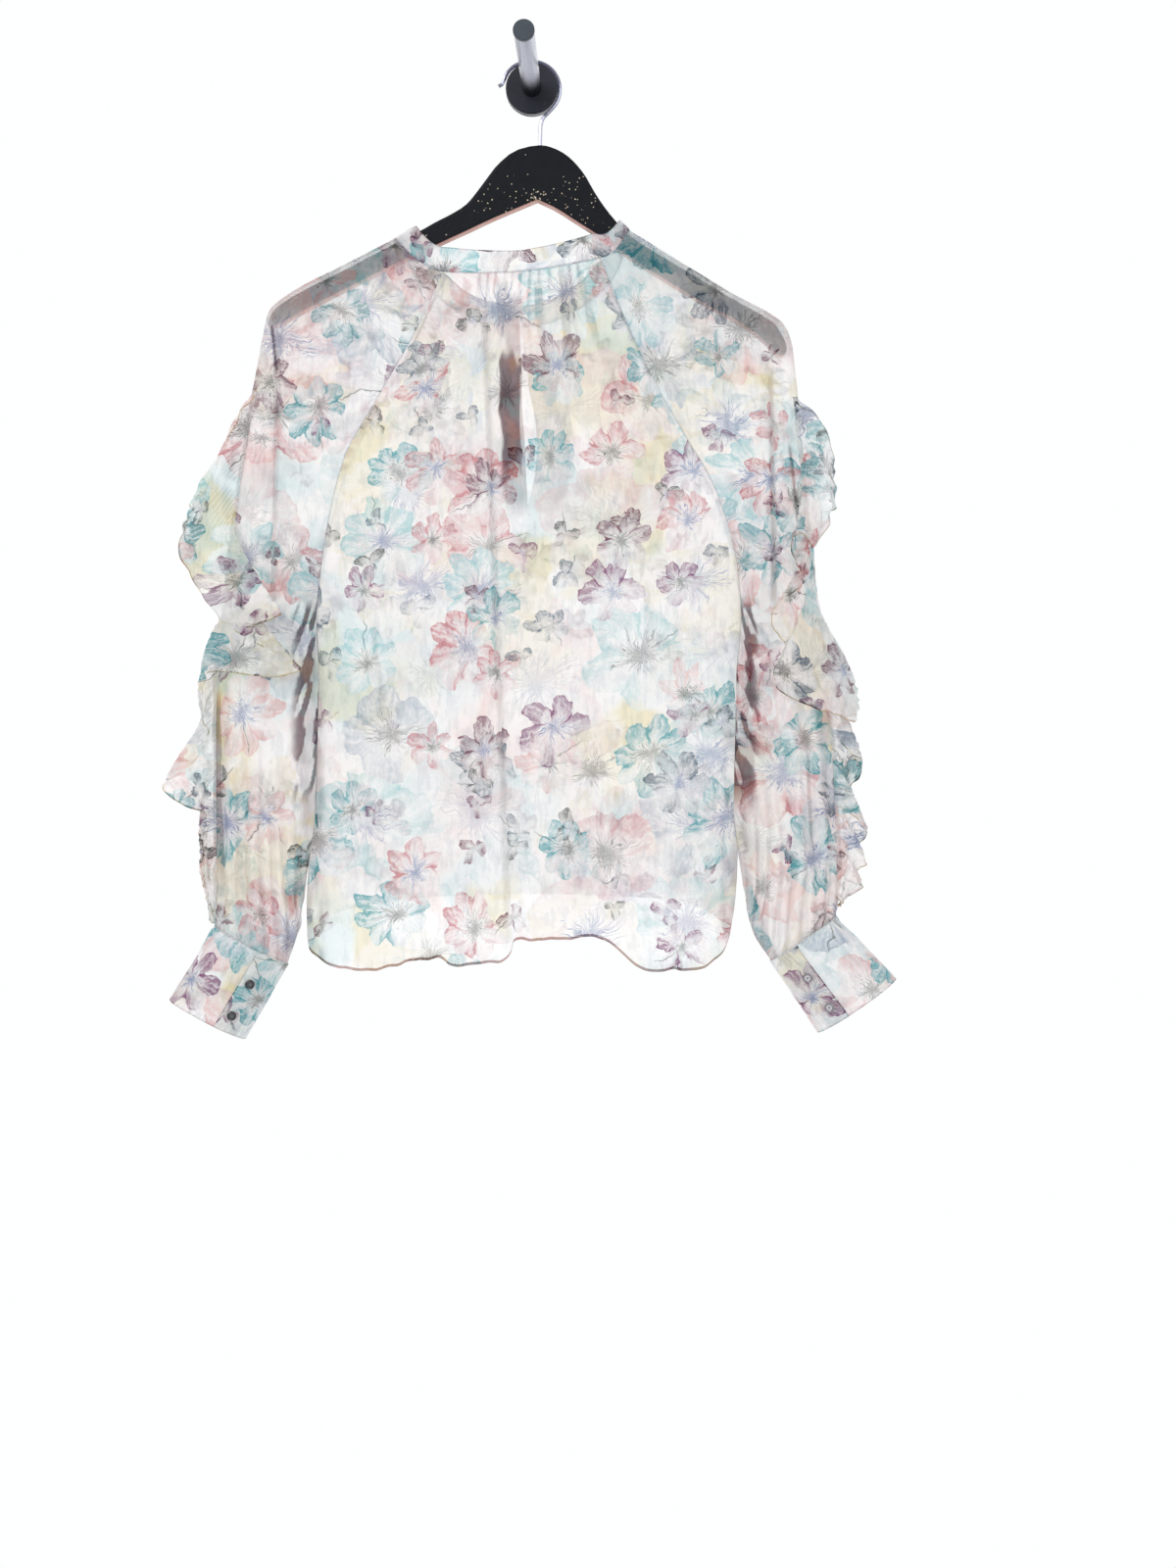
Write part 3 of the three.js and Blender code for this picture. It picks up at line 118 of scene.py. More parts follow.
# Lines of the garment, each a short table of places (x, z)
LEFT = {
    "side": -1,
    "raglan_back": [
        (-72.8, -169.9), (-94.9, -217.3), (-127.6, -274.6), (-154.6, -322.8),
        (-168.5, -375.1), (-175.9, -418.5), (-179.2, -442.2),
    ],
    "raglan_front": [
        (-80, -184), (-101, -228), (-130, -282), (-154, -328), (-168, -377),
        (-176, -419), (-179.2, -442.2),
    ],
    "shoulder": [
        (-113.3, -139.5), (-157.8, -162.6), (-189.1, -178.2), (-209.7, -190.6),
        (-219.6, -199.6), (-224.5, -218.6), (-230.3, -249.9), (-236.9, -284.5),
        (-243.5, -325.7), (-251.7, -383.4), (-259.2, -443),
    ],
    "forearm_outer": [
        (-259.2, -443), (-265.7, -515.2), (-266.5, -597.6), (-265.7, -663.5),
        (-265.6, -716.7),
    ],
    "forearm_inner": [
        (-179.2, -442.2), (-182.4, -474.9), (-184.1, -515.8), (-185.3, -564.9),
        (-186.7, -614), (-188.6, -654.8), (-191.2, -687.6), (-195, -720.3),
        (-204.7, -748.2),
    ],
    "body_side": [
        (-179.2, -442.2), (-180.9, -515.2), (-183.3, -581.1), (-185.5, -647),
        (-188, -696.5), (-187.5, -724.2),
    ],
    "cuff_axis": (-0.508, 0.0, -0.861),
    "cuff_widen": 1.03,
}
RIGHT = {
    "side": 1,
    "raglan_back": [
        (58.8, -158.1), (80.9, -213.2), (107.1, -267.2), (130, -307.3),
        (152.9, -346.5), (170.9, -401.3), (176.6, -442.2),
    ],
    "raglan_front": [
        (66, -174), (86, -222), (110, -273), (132, -314), (153, -352),
        (170.5, -403), (176.6, -442.2),
    ],
    "shoulder": [
        (82.8, -132.9), (125.7, -159.3), (166.8, -184), (199.8, -201.7),
        (213, -212), (219.6, -226.8), (222.9, -251.5), (225.3, -276.3),
        (229.5, -325.7), (236.1, -383.4), (241.8, -441.1),
    ],
    "forearm_outer": [
        (241.8, -441.1), (250.1, -507), (256.7, -581.1), (260, -655.3),
        (256.5, -708.5),
    ],
    "forearm_inner": [
        (176.6, -442.2), (179.2, -474.9), (179.4, -515.8), (178.3, -564.9),
        (177.4, -614), (178.4, -654.8), (181.5, -695.7), (188.9, -724.4),
        (202, -745.5),
    ],
    "body_side": [
        (176.6, -442.2), (177.4, -515.2), (175.7, -581.1), (174.6, -638.8),
        (171.6, -696.5), (167.2, -724.2),
    ],
    "cuff_axis": (0.62, 0.0, -0.785),
    "cuff_widen": 1.17,
}

# How far a seam or a layer stands from the hanger's plane
SEAM_DEPTH = {"at": (0, 0.15, 0.4, 0.75, 0.9, 1), "depth": (12, 10.6, 9.6, 9, 6.5, LAYER)}
BODY_SECTIONS = {
    "at": (0, 0.2, 0.5, 1), "depth": (12, 14, 15.5, 15), "square": (3, 3, 3, 2.6),
}
SLEEVE_SECTIONS = {
    "at": (0, 0.2, 0.55, 1, 1.4, 1.85, 2),
    "depth": (12, 10.4, 10.5, 14, 17, 19, 22),
    "square": (4, 4.5, 4, 3.4, 2.8, 2.3, 2),
}
BACK_NECK = [
    (-72.8, -169.9), (-54.7, -170.6), (-34.3, -170.7), (-17.2, -170.1), (3.3, -168),
    (23.7, -165.2), (43.8, -161.4), (58.8, -158.1),
]
FRONT_NECK = [
    (-80, -184), (-62, -198), (-38, -207), (-9.5, -211), (-6.5, -211), (18, -206),
    (44, -193), (66, -174),
]
BACK_HEM = [
    (-187.5, -724.2), (-184.5, -737), (-166, -749.5), (-138.1, -754.4), (-107, -747.9),
    (-75.2, -743.8), (-66, -748.6), (-45, -747.9), (-18, -743), (-13, -729.6),
    (15.5, -728.3), (48.2, -725.9), (60.5, -726.7), (72.7, -734.8), (95.6, -752.8),
    (121.7, -752.8), (147, -750.4), (160.9, -738.1), (167.2, -724.2),
]
FRONT_HEM = [
    (-187.5, -724.2), (-172, -710), (-118, -697), (-35, -691), (48, -692), (131, -698),
    (156, -710), (167.2, -724.2),
]
SLIT = {
    "down": (0, 0.04, 0.08, 0.12, 0.15, 0.1675, 0.185, 0.22, 0.27, SLIT_END_DOWN),
    "left": (-9.5, -9, -7.4, -8, -7.5, -6.8, -6.2, -5, -4.2, SLIT_END_X),
    "right": (-6.5, -6.2, -3.5, -1, 2, 3.5, 4.3, 5.3, 3.2, SLIT_END_X),
}

# Folds of a layer: top x and z, bottom x and z, reach to each side, height, and the side
# on which a knife fold rises slowly (0 for a soft fold)
BACK_FOLDS = [
    (-42, -172, -19, -760, 75, 7, -1), (-60, -172, -66, -290, 9, 3, 0),
    (-25, -172, -22, -345, 9, 3.4, 0), (-11, -172, -3, -320, 8, 3, 0),
    (2, -170, 12, -330, 8, 3.2, 0), (15, -168, 30, -350, 8, 3, 0),
    (29, -165, 50, -300, 9, 3.2, 0), (44, -163, 66, -275, 9, 2.6, 0),
    (-108, -300, -124, -600, 26, 3, 0), (56, -400, 50, -770, 22, -4, 0),
    (108, -360, 118, -770, 26, 3.5, 0), (-88, -480, -76, -790, 20, -4, 0),
    (-140, -560, -140, -790, 26, 3, 0), (12, -560, 14, -770, 18, 2.5, 0),
]
# Pleats of the back and of the sleeves' near side, where the cloth lies double and is painted
# darker as shade in the fold: top x and z, bottom x and z, half width, how dark
BACK_PLEATS = [
    (-15.8, -232, -15.2, -360, 9.7, 2.4), (-13.5, -186, -15, -300, 8, 1.0),
    (-24, -174, -22, -240, 5, 0.9), (6, -172, 10, -230, 4, 0.7), (27, -168, 34, -262, 5, 0.8),
    (-52, -174, -58, -232, 4, 0.6), (40, -166, 58, -240, 4, 0.7),
    (-132, -455, -120, -560, 4, 0.4), (96, -420, 104, -520, 4, 0.4), (58, -610, 60, -700, 4, 0.3),
]
SLEEVE_PLEATS = [
    (-217, -206, -211, -264, 2.4, 2.4), (-263, -516, -259, -700, 4.6, 1.7),
    (216, -312, 226, -400, 2.2, 1.8), (231, -560, 236, -680, 2.4, 1.1),
]
FRONT_FOLDS = [
    (-60, -190, -72, -330, 10, 3, 0), (-38, -200, -44, -360, 10, 3, 0),
    (26, -198, 36, -350, 10, 3, 0), (48, -186, 66, -320, 10, 3, 0),
    (-100, -330, -112, -740, 26, 4, 0), (-30, -420, -36, -740, 22, -4, 0),
    (44, -380, 52, -740, 24, 4, 0), (112, -360, 116, -750, 24, -3.5, 0),
]
LEFT_SLEEVE_FOLDS = [
    (-207, -212, -212, -455, 26, 6, 1), (-150, -185, -172, -330, 16, 3, 0),
    (-190, -448, -198, -560, 9, 4, 0), (-196, -560, -212, -735, 11, 4.5, 0),
    (-228, -520, -232, -725, 11, 4, 0), (-250, -560, -248, -715, 9, 3.5, 0),
]
RIGHT_SLEEVE_FOLDS = [
    (198, -250, 201, -460, 24, 6, -1), (130, -185, 160, -320, 16, 3, 0),
    (186, -455, 190, -570, 9, 4, 0), (190, -560, 206, -725, 11, 4.5, 0),
    (216, -500, 226, -715, 11, 4, 0), (240, -560, 242, -705, 9, 3.5, 0),
]

# The ruffles: height of the root, then how far the free edge stands out, near and down
LEFT_RUFFLE = [
    (-266, 1, 3, 5), (-271, 12, 8, 17), (-278, 23, -6, 30), (-286, 34, -18, 46),
    (-294, 43, -20, 56), (-303, 49, -6, 58), (-311, 44, 16, 61), (-320, 48, 22, 66),
    (-331, 50, 12, 75), (-342, 42, -4, 82), (-355, 29, -10, 88), (-367, 11, 4, 94),
    (-378, -16, 28, 90), (-388, -46, 38, 70), (-397, -28, 28, 64), (-408, -8, 20, 62),
    (-418, -39, 30, 69), (-428, -66, 34, 75), (-438, -45, 28, 72), (-448, -15, 16, 58),
    (-459, 12, 3, 46), (-472, 18, -14, 45), (-487, 15, 8, 43), (-502, 8, 20, 44),
    (-517, 12, -16, 48), (-533, 27, -8, 51), (-550, 42, 10, 50), (-563, 28, 20, 49),
    (-576, 10, 4, 45), (-591, 13, -18, 44), (-607, 9, 14, 42), (-624, 13, -16, 41),
    (-640, 9, 14, 36), (-657, 11, -14, 29), (-676, 5, 8, 19), (-701, 2, 3, 12),
]
RIGHT_RUFFLE = [
    (-271, 1, 3, 5), (-275, 21, 10, 18), (-281, 32, -8, 36), (-288, 35, -18, 54),
    (-296, 34, -8, 66), (-304, 27, 12, 66), (-313, 22, 22, 72), (-322, 11, 18, 77),
    (-332, 7, 28, 70), (-342, -4, 36, 50), (-355, -15, 36, 42), (-367, -11, 26, 50),
    (-379, -8, 24, 53), (-391, -22, 30, 52), (-401, -35, 34, 54), (-411, -36, 30, 58),
    (-421, -26, 24, 62), (-431, -36, 30, 74), (-439, -36, 36, 80), (-447, -13, 36, 86),
    (-454, 11, 26, 86), (-462, 29, 6, 84), (-473, 30, -14, 66), (-487, 20, -20, 56),
    (-502, 13, -16, 53), (-519, 18, 8, 51), (-535, 25, 18, 49), (-551, 18, -12, 48),
    (-568, 10, -18, 46), (-584, 19, 10, 41), (-600, 25, 18, 38), (-616, 19, -14, 33),
    (-631, 23, 14, 31), (-645, 16, -16, 26), (-660, 20, 10, 20), (-675, 10, -10, 16),
    (-690, 2, 3, 8),
]

# How the neck band stands up from its seam (x, y, z)
BAND_RISE = {
    "centre_front": (0, 0, 18), "left_front": (9, 0, 17), "left_shoulder": (17.3, 0, 9.9),
    "left_back": (4.5, 1, 20.5), "centre_back": (0, 1.5, 17.6),
    "right_back": (-5.5, 1, 20.5), "right_shoulder": (-8.2, 0, 8.2),
    "right_front": (-9, 0, 17),
}

# Where each piece's print is cut from the printed cloth, in metres
CUT_FROM = {
    "back": (0.0, 0.0), "front": (1.37, 0.61), "sleeve_left": (2.53, 1.29),
    "sleeve_right": (3.71, 0.43), "band": (5.17, 2.11), "cuff_left": (6.29, 1.53),
    "cuff_right": (7.43, 2.87), "ruffle_left": (8.61, 0.37), "ruffle_right": (9.83, 1.91),
}


# Small tools for numbers and lines
def mix(a, b, t):
    """A number between a (t 0) and b (t 1)."""
    return a + (b - a) * t


def ease(t):
    """0 up to t 0 and 1 from t 1 on, with a soft way between them."""
    t = np.clip(t, 0.0, 1.0)
    return t * t * (3 - 2 * t)


def within(value, low, soft_low, high, soft_high):
    """1 between low and high and 0 outside, with a soft way up and down inside them."""
    return ease((value - low) / soft_low) * ease((high - value) / soft_high)


def running_length(points, axis):
    """How far along its column (axis 0) or row (axis 1) each point of a net lies."""
    steps = np.linalg.norm(np.diff(points, axis=axis), axis=-1)
    start = np.zeros_like(np.take(steps, [0], axis=axis))
    return np.concatenate([start, np.cumsum(steps, axis=axis)], axis=axis)


def table(rows, at, column, key="at"):
    """Numbers read from a table of columns, at places between its rows."""
    return np.interp(at, rows[key], rows[column])


def height_at(line, x):
    """The height of a smooth line at x."""
    points = line[0]
    return np.interp(x, np.maximum.accumulate(points[:, 0]), points[:, 1])


def curve_point(stops, t):
    """A point at t (0 to 1) on the smooth curve through stops."""
    last = len(stops) - 1
    span = min(int(last * t), last - 1)
    w = last * t - span
    p1, p2 = stops[span], stops[span + 1]
    p0 = stops[span - 1] if span > 0 else 2 * p1 - p2
    p3 = stops[span + 2] if span + 2 <= last else 2 * p2 - p1
    d0, d1, d2 = (max(1e-4, float(np.dot(b - a, b - a)) ** 0.25)
                  for a, b in ((p0, p1), (p1, p2), (p2, p3)))
    out = ((p1 - p0) / d0 - (p2 - p0) / (d0 + d1) + (p2 - p1) / d1) * d1
    into = ((p2 - p1) / d1 - (p3 - p1) / (d1 + d2) + (p3 - p2) / d2) * d1
    bend = -3 * p1 + 3 * p2 - 2 * out - into
    return p1 + out * w + bend * w ** 2 + (2 * p1 - 2 * p2 + out + into) * w ** 3


def smooth_line(places):
    """Points along the smooth line through places, and their distances along it."""
    stops = np.array(places, float)
    count = len(stops) * 12
    points = np.array([curve_point(stops, i / count) for i in range(count + 1)])
    return points, running_length(points, 0)


def along(line, fraction):
    """x and z at fractions of a line's length."""
    points, lengths = line
    want = np.clip(fraction, 0, 1) * lengths[-1]
    return np.interp(want, lengths, points[:, 0]), np.interp(want, lengths, points[:, 1])


def soft_noise(u, v, seed):
    """Smooth noise from -1 to 1, with one bump for each unit of u and v."""
    values = np.random.default_rng(seed).random((NOISE_SIZE, NOISE_SIZE)) * 2 - 1
    iu, iv = np.floor(u).astype(int), np.floor(v).astype(int)
    fu, fv = ease(u - iu), ease(v - iv)

    def corner(du, dv):
        return values[(iu + du) % NOISE_SIZE, (iv + dv) % NOISE_SIZE]

    top = mix(corner(0, 0), corner(1, 0), fu)
    bottom = mix(corner(0, 1), corner(1, 1), fu)
    return mix(top, bottom, fv)


def crinkle(x, z, seed):
    """The height of the chiffon's small crinkles, in millimetres: mostly upright creases."""
    lean = 9 * soft_noise(x / 60, z / 70, seed + 1)
    tall = soft_noise((x + lean) / 7.5, z / 55, seed + 2)
    medium = soft_noise((x + lean) / 4.2, z / 26, seed + 3)
    crossing = soft_noise((x + z * 0.6) / 11, (z - x * 0.5) / 24, seed + 4)
    patch = 0.55 + 0.45 * soft_noise(x / 38, z / 52, seed + 5)
    return patch * (0.62 * tall + 0.3 * medium + 0.34 * crossing)


def beside(fold, x, z):
    """How far down a fold or pleat places lie (0 top, 1 bottom), and how far to its right."""
    top_x, top_z, bottom_x, bottom_z = fold[:4]
    down = (top_z - z) / (top_z - bottom_z)
    return down, x - mix(top_x, bottom_x, down)


def fold_height(folds, x, z):
    """How high the folds of a layer stand at places."""
    height = np.zeros_like(x)
    for fold in folds:
        lap, rise, side = fold[4:]
        down, off = beside(fold, x, z)
        height += rise * within(down, 0, 0.1, 1, 0.25) * fold_profile(off, lap, side)
    return height


def fold_profile(off, lap, side):
    """A fold's height across it, from 0 to 1: a soft wave, or a knife fold's slope and drop."""
    if side == 0:
        t = np.clip(np.abs(off) / lap, 0, 1)
        return 0.5 + 0.5 * np.cos(np.pi * t)
    toward = off * side
    rising = np.clip(1 - toward / lap, 0, 1) ** 1.5
    dropping = ease(1 + toward / 5)
    return np.where(toward >= 0, rising, dropping)


def fold_laps(folds, x, z):
    """Where knife folds lay the cloth double, from 0 to 1."""
    doubled_and_shade = np.zeros_like(x)
    for fold in folds:
        side = fold[-1]
        down, off = beside(fold, x, z)
        strip = within(off * side, -LAP_WIDTH, 1.5, 1, 1.5)
        doubled_and_shade = np.maximum(doubled_and_shade, within(down, 0, 0.05, 1, 0.1) * strip * abs(side))
    return doubled_and_shade


def pleat_shade(pleats, x, z):
    """How dark the named pleats are painted at places: painted shade along their folds."""
    shade = np.zeros_like(x)
    uneven_ends = 7 * soft_noise(x / 5, z / 40, 58)
    uneven_sides = 0.22 * soft_noise(z / 13, x / 9, 57)
    for pleat in pleats:
        half, dark = pleat[4:]
        down, off = beside(pleat, x, z - uneven_ends)
        strip = ease((half - np.abs(off) - half * uneven_sides) / 1.5)
        shade = np.maximum(shade, dark * within(down, 0, 0.12, 1, 0.3) * strip)
    return shade


def through_slit(x, z):
    """Where the back hangs before the open slit of the front, from 0 to 1."""
    down = (SLIT_TOP - z) / FRONT_DROP
    left = table(SLIT, down, "left", "down")
    right = table(SLIT, down, "right", "down")
    return ease(np.minimum(x - left, right - x) / 1.2) * (down > 0)


def both_round(s, square):
    """A layer's depth from edge to edge: 1 where it is full, 0 at both edges."""
    return np.clip(1 - np.abs(2 * s - 1) ** square, 0, 1) ** (1 / square)


def outer_round(a, square):
    """The same with one turned edge, at a 1."""
    return np.clip(1 - a ** square, 0, 1) ** (1 / square)


# The body's two layers
def body_layer(way, folds, neck, hem, raglan):
    return {
        "way": way, "folds": folds,
        "neck": smooth_line(neck), "hem": smooth_line(hem),
        "raglans": [smooth_line(arm[raglan]) for arm in (LEFT, RIGHT)],
        "sides": [smooth_line(arm["body_side"]) for arm in (LEFT, RIGHT)],
    }


BACK_LAYER = body_layer(-1, BACK_FOLDS, BACK_NECK, BACK_HEM, "raglan_back")
FRONT_LAYER = body_layer(1, FRONT_FOLDS, FRONT_NECK, FRONT_HEM, "raglan_front")


def body_edge(layer, which, down):
    """x and z of the layer's left (0) or right (1) edge."""
    raglan = along(layer["raglans"][which], down / ARMHOLE_SHARE)
    side = along(layer["sides"][which], (down - ARMHOLE_SHARE) / (1 - ARMHOLE_SHARE))
    above = down <= ARMHOLE_SHARE
    return np.where(above, raglan[0], side[0]), np.where(above, raglan[1], side[1])


def body_surface(layer, down, across):
    """Places on a layer, from how far down (0 neck, 1 hem) and across (0 left, 1 right)."""
    left_x, left_z = body_edge(layer, 0, down)
    right_x, right_z = body_edge(layer, 1, down)
    x = mix(left_x, right_x, across)
    z = mix(left_z, right_z, across)
    for line, share in ((layer["neck"], (1 - down) ** 1.5), (layer["hem"], down ** 6)):
        first, last = line[0][0], line[0][-1]
        line_x = mix(first[0], last[0], across)
        straight = mix(first[1], last[1], across)
        z = z + share * (height_at(line, line_x) - straight)
    edge = table(SEAM_DEPTH, np.clip(down / ARMHOLE_SHARE, 0, 1), "depth")
    full = table(BODY_SECTIONS, down, "depth")
    full_round = both_round(across, table(BODY_SECTIONS, down, "square"))
    loose = np.minimum(1, full_round * 1.4) * ease(down / 0.035)
    depth = mix(edge, np.maximum(full, edge), full_round)
    depth = depth + fold_height(layer["folds"], x, z) * loose
    return np.stack([x, HANG_Y + layer["way"] * depth, z], axis=-1), loose


def neck_gathers(x, z, seed, left, right, reach):
    """Narrow ridges that run down from the neck band, each to its own length."""
    spread = 1 + np.clip(-165 - z, 0, 400) / 420
    lane = (x + 8) / spread
    wander = 5.5 * soft_noise(lane / 17, z / 70, seed)
    uneven = 0.7 + 0.5 * soft_noise(lane / 11, z / 90, seed + 2)
    waves = uneven * np.sin(2 * np.pi * (lane + wander) / GATHER_SPACING)
    length = reach * (0.62 + 0.38 * soft_noise(lane / 9, lane * 0, seed + 1))
    fade = np.clip(1 - (-168 - z) / length, 0, 1) ** 1.4
    return GATHER_HEIGHT * waves * fade * within(lane, left, 14, right, 12)


def back_points():
    """The back's sheet, with its crinkles, gathers, drags and hem."""
    down, across = grid(BACK_ROWS, BACK_COLUMNS)
    points, loose = body_surface(BACK_LAYER, down, across)
    x, z = points[..., 0], points[..., 2]
    lift = crinkle(x, z, 11) * loose
    lift += neck_gathers(x, z, *BACK_GATHERS) * ease(down / 0.012)
    lift += body_drags(x, z, 31) * loose
    lift += hem_waves(x, down, 41)
    points[..., 1] -= lift
    points[..., 2] += 1.3 * down ** 12 * soft_noise(x / 8.5, down, 43)
    return points


def back_doubled_and_shade(points):
    """Where the back lies double and where painted shade darkens it: its gathers, its knife fold,
    its dark pleats and its crumpled sides.
    """
    x, z = points[..., 0], points[..., 2]
    # Painted shade, with the denser doubled cloth: in the neck gathers, the knife fold's lap, the
    # crumpled lower sides and the dark pleats
    gathers = np.clip(neck_gathers(x, z, *BACK_GATHERS) / 1.2, 0, 1)
    side = ease((np.abs(x - BODY_MIDDLE) - 160) / 10) * ease((-500 - z) / 70)
    crumple = side * (0.55 + 0.6 * soft_noise(x / 5, z / 13, 51))
    laid_double_and_shade = 0.4 * fold_laps(BACK_FOLDS, x, z) + 0.9 * gathers + crumple
    laid_double_and_shade = np.maximum(np.clip(laid_double_and_shade, 0, 1), pleat_shade(BACK_PLEATS, x, z))
    return laid_double_and_shade * (1 - 0.85 * through_slit(x, z))


def body_drags(x, z, seed):
    """Long soft creases that lean from the shoulders, and slack ones near the side seams."""
    slack = ease((np.abs(x - BODY_MIDDLE) - 95) / 60)
    leaning = soft_noise((x + 0.45 * np.abs(x) + z * 0.22) / 26, z / 130, seed)
    rumple = soft_noise(x / 16, z / 19, seed + 1) * ease((-560 - z) / 120)
    return 1.3 * leaning + 0.9 * slack * rumple


def hem_waves(x, down, seed):
    """The hem stands in and out a little."""
    return 1.6 * ease((down - 0.86) / 0.14) * soft_noise(x / 24, down * 2, seed)


def grid(rows, columns):
    """How far down and how far across each point of a net lies, from 0 to 1."""
    down, across = np.meshgrid(np.linspace(0, 1, rows + 1), np.linspace(0, 1, columns + 1),
                               indexing="ij")
    return down, across


def front_half_points(which):
    """One half of the front, from its outer edge (column 0) to the middle."""
    down, t = grid(FRONT_ROWS, FRONT_HALF_COLUMNS)
    whole = [body_edge(FRONT_LAYER, side, down)[0] for side in (0, 1)]
    lower = np.clip((down - SLIT_END_DOWN) / (1 - SLIT_END_DOWN), 0, 1)
    closed = mix(SLIT_END_X, (whole[0] + whole[1]) / 2, lower)
    edge = table(SLIT, down, ("left", "right")[which], "down")
    middle = np.where(down < SLIT_END_DOWN, edge, closed)
    x = mix(whole[which], middle, t)
    across = (x - whole[0]) / (whole[1] - whole[0])
    points, loose = body_surface(FRONT_LAYER, down, across)
    x, z = points[..., 0], points[..., 2]
    lift = crinkle(x, z, 61) * loose
    lift += neck_gathers(x, z + 30, *FRONT_GATHERS) * ease(down / 0.012)
    lift += body_drags(x, z, 81) * loose + hem_waves(x, down, 91)
    points[..., 1] += lift
    return points


def front_doubled_and_shade(points, which):
    """Where half of the front lies double along the slit and is painted dark as shade there; the
    strip is widest at the left.
    """
    down = grid(FRONT_ROWS, FRONT_HALF_COLUMNS)[0]
    dark, width, uneven, soft = SLIT_STRIPS[which]
    off = np.abs(points[..., 0] - points[:, -1:, 0])
    # Painted shade in a strip beside the slit's edge
    strip = ease((width + uneven * soft_noise(points[..., 2] / 31, down, 97) - off) / soft)
    slanted = 0.03 + 0.0016 * off + 0.02 * soft_noise(off / 6, down, 98)
    return dark * strip * within(down, slanted, 0.06, SLIT_END_DOWN * 1.08, 0.05)


# The sleeves
def sleeve_lines(arm, folds, seed):
    lines = {name: smooth_line(arm[name]) for name in
             ("raglan_back", "raglan_front", "shoulder", "forearm_outer", "forearm_inner")}
    return {"arm": arm, "folds": folds, "seed": seed, **lines}


LEFT_LINES = sleeve_lines(LEFT, LEFT_SLEEVE_FOLDS, 101)
RIGHT_LINES = sleeve_lines(RIGHT, RIGHT_SLEEVE_FOLDS, 151)


def either(upper, above, below):
    return tuple(np.where(upper, a, b) for a, b in zip(above, below))


def sleeve_edge(lines, down):
    """x and z of the sleeve's outer edge: 0 neck, 1 underarm, 2 cuff."""
    return either(down <= 1, along(lines["shoulder"], down),
                  along(lines["forearm_outer"], down - 1))


def sleeve_seam(lines, down, way):
    """x and z of the sleeve's seam: its raglan, near or far, and then the inner forearm."""
    back = along(lines["raglan_back"], down)
    front = along(lines["raglan_front"], down)
    raglan = either(way < 0, back, front)
    return either(down <= 1, raglan, along(lines["forearm_inner"], down - 1))


def sleeve_surface(lines, down, a, way):
    """Places on a sleeve: how far down it, from its seam (0) to its outer edge (1)."""
    upper = down <= 1
    seam_x, seam_z = sleeve_seam(lines, down, way)
    edge_x, edge_z = sleeve_edge(lines, down)
    toward_body = SLEEVE_OVERLAP * within(down, 1, 0.22, 1.86, 0.3) * (1 - a) ** 2
    x = mix(seam_x, edge_x, a) - lines["arm"]["side"] * toward_body
    z = mix(seam_z, edge_z, a) - SLEEVE_SAG * np.clip(1 - down / 0.25, 0, 1) * 4 * a * (1 - a)
    edge_depth = np.where(upper, table(SEAM_DEPTH, np.clip(down, 0, 1), "depth"), LAYER)
    full = np.maximum(edge_depth, table(SLEEVE_SECTIONS, down, "depth"))
    square = table(SLEEVE_SECTIONS, down, "square")
    inside = np.clip(1 - (1 - a) ** square, 0, 1) ** (1 / square)
    loose = 4 * a * (1 - a) * within(down, 0, 0.12, 2, 0.1)
    height = fold_height(lines["folds"], x, z) * loose * np.where(way < 0, 1, 0.7)
    depth = mix(edge_depth, full, inside) * outer_round(a, square) + height
    depth = np.where(a > 0.9999, 0, depth)
    return np.stack([x, HANG_Y + way * depth - 1.35 * toward_body, z], axis=-1)


def sleeve_stops():
    """The rows of a sleeve, 0 to 2, closer together over the shoulder's end."""
    t = np.linspace(0, 1, SLEEVE_ROWS + 1)
    return np.interp(t, (0, 0.14, 0.28, 0.5, 1), (0, 0.28, SHOULDER_END, 1, 2))


def sleeve_round():
    """Places round a sleeve's section, from the back seam over the edge to the front seam."""
    steps = np.arange(2 * SLEEVE_COLUMNS + 1)
    turn = np.where(steps <= SLEEVE_COLUMNS, steps, 2 * SLEEVE_COLUMNS - steps)
    spread = (1 - np.cos(np.pi * turn / SLEEVE_COLUMNS)) / 2
    even = turn / SLEEVE_COLUMNS
    return mix(even, spread, 0.7), np.where(steps <= SLEEVE_COLUMNS, -1.0, 1.0)


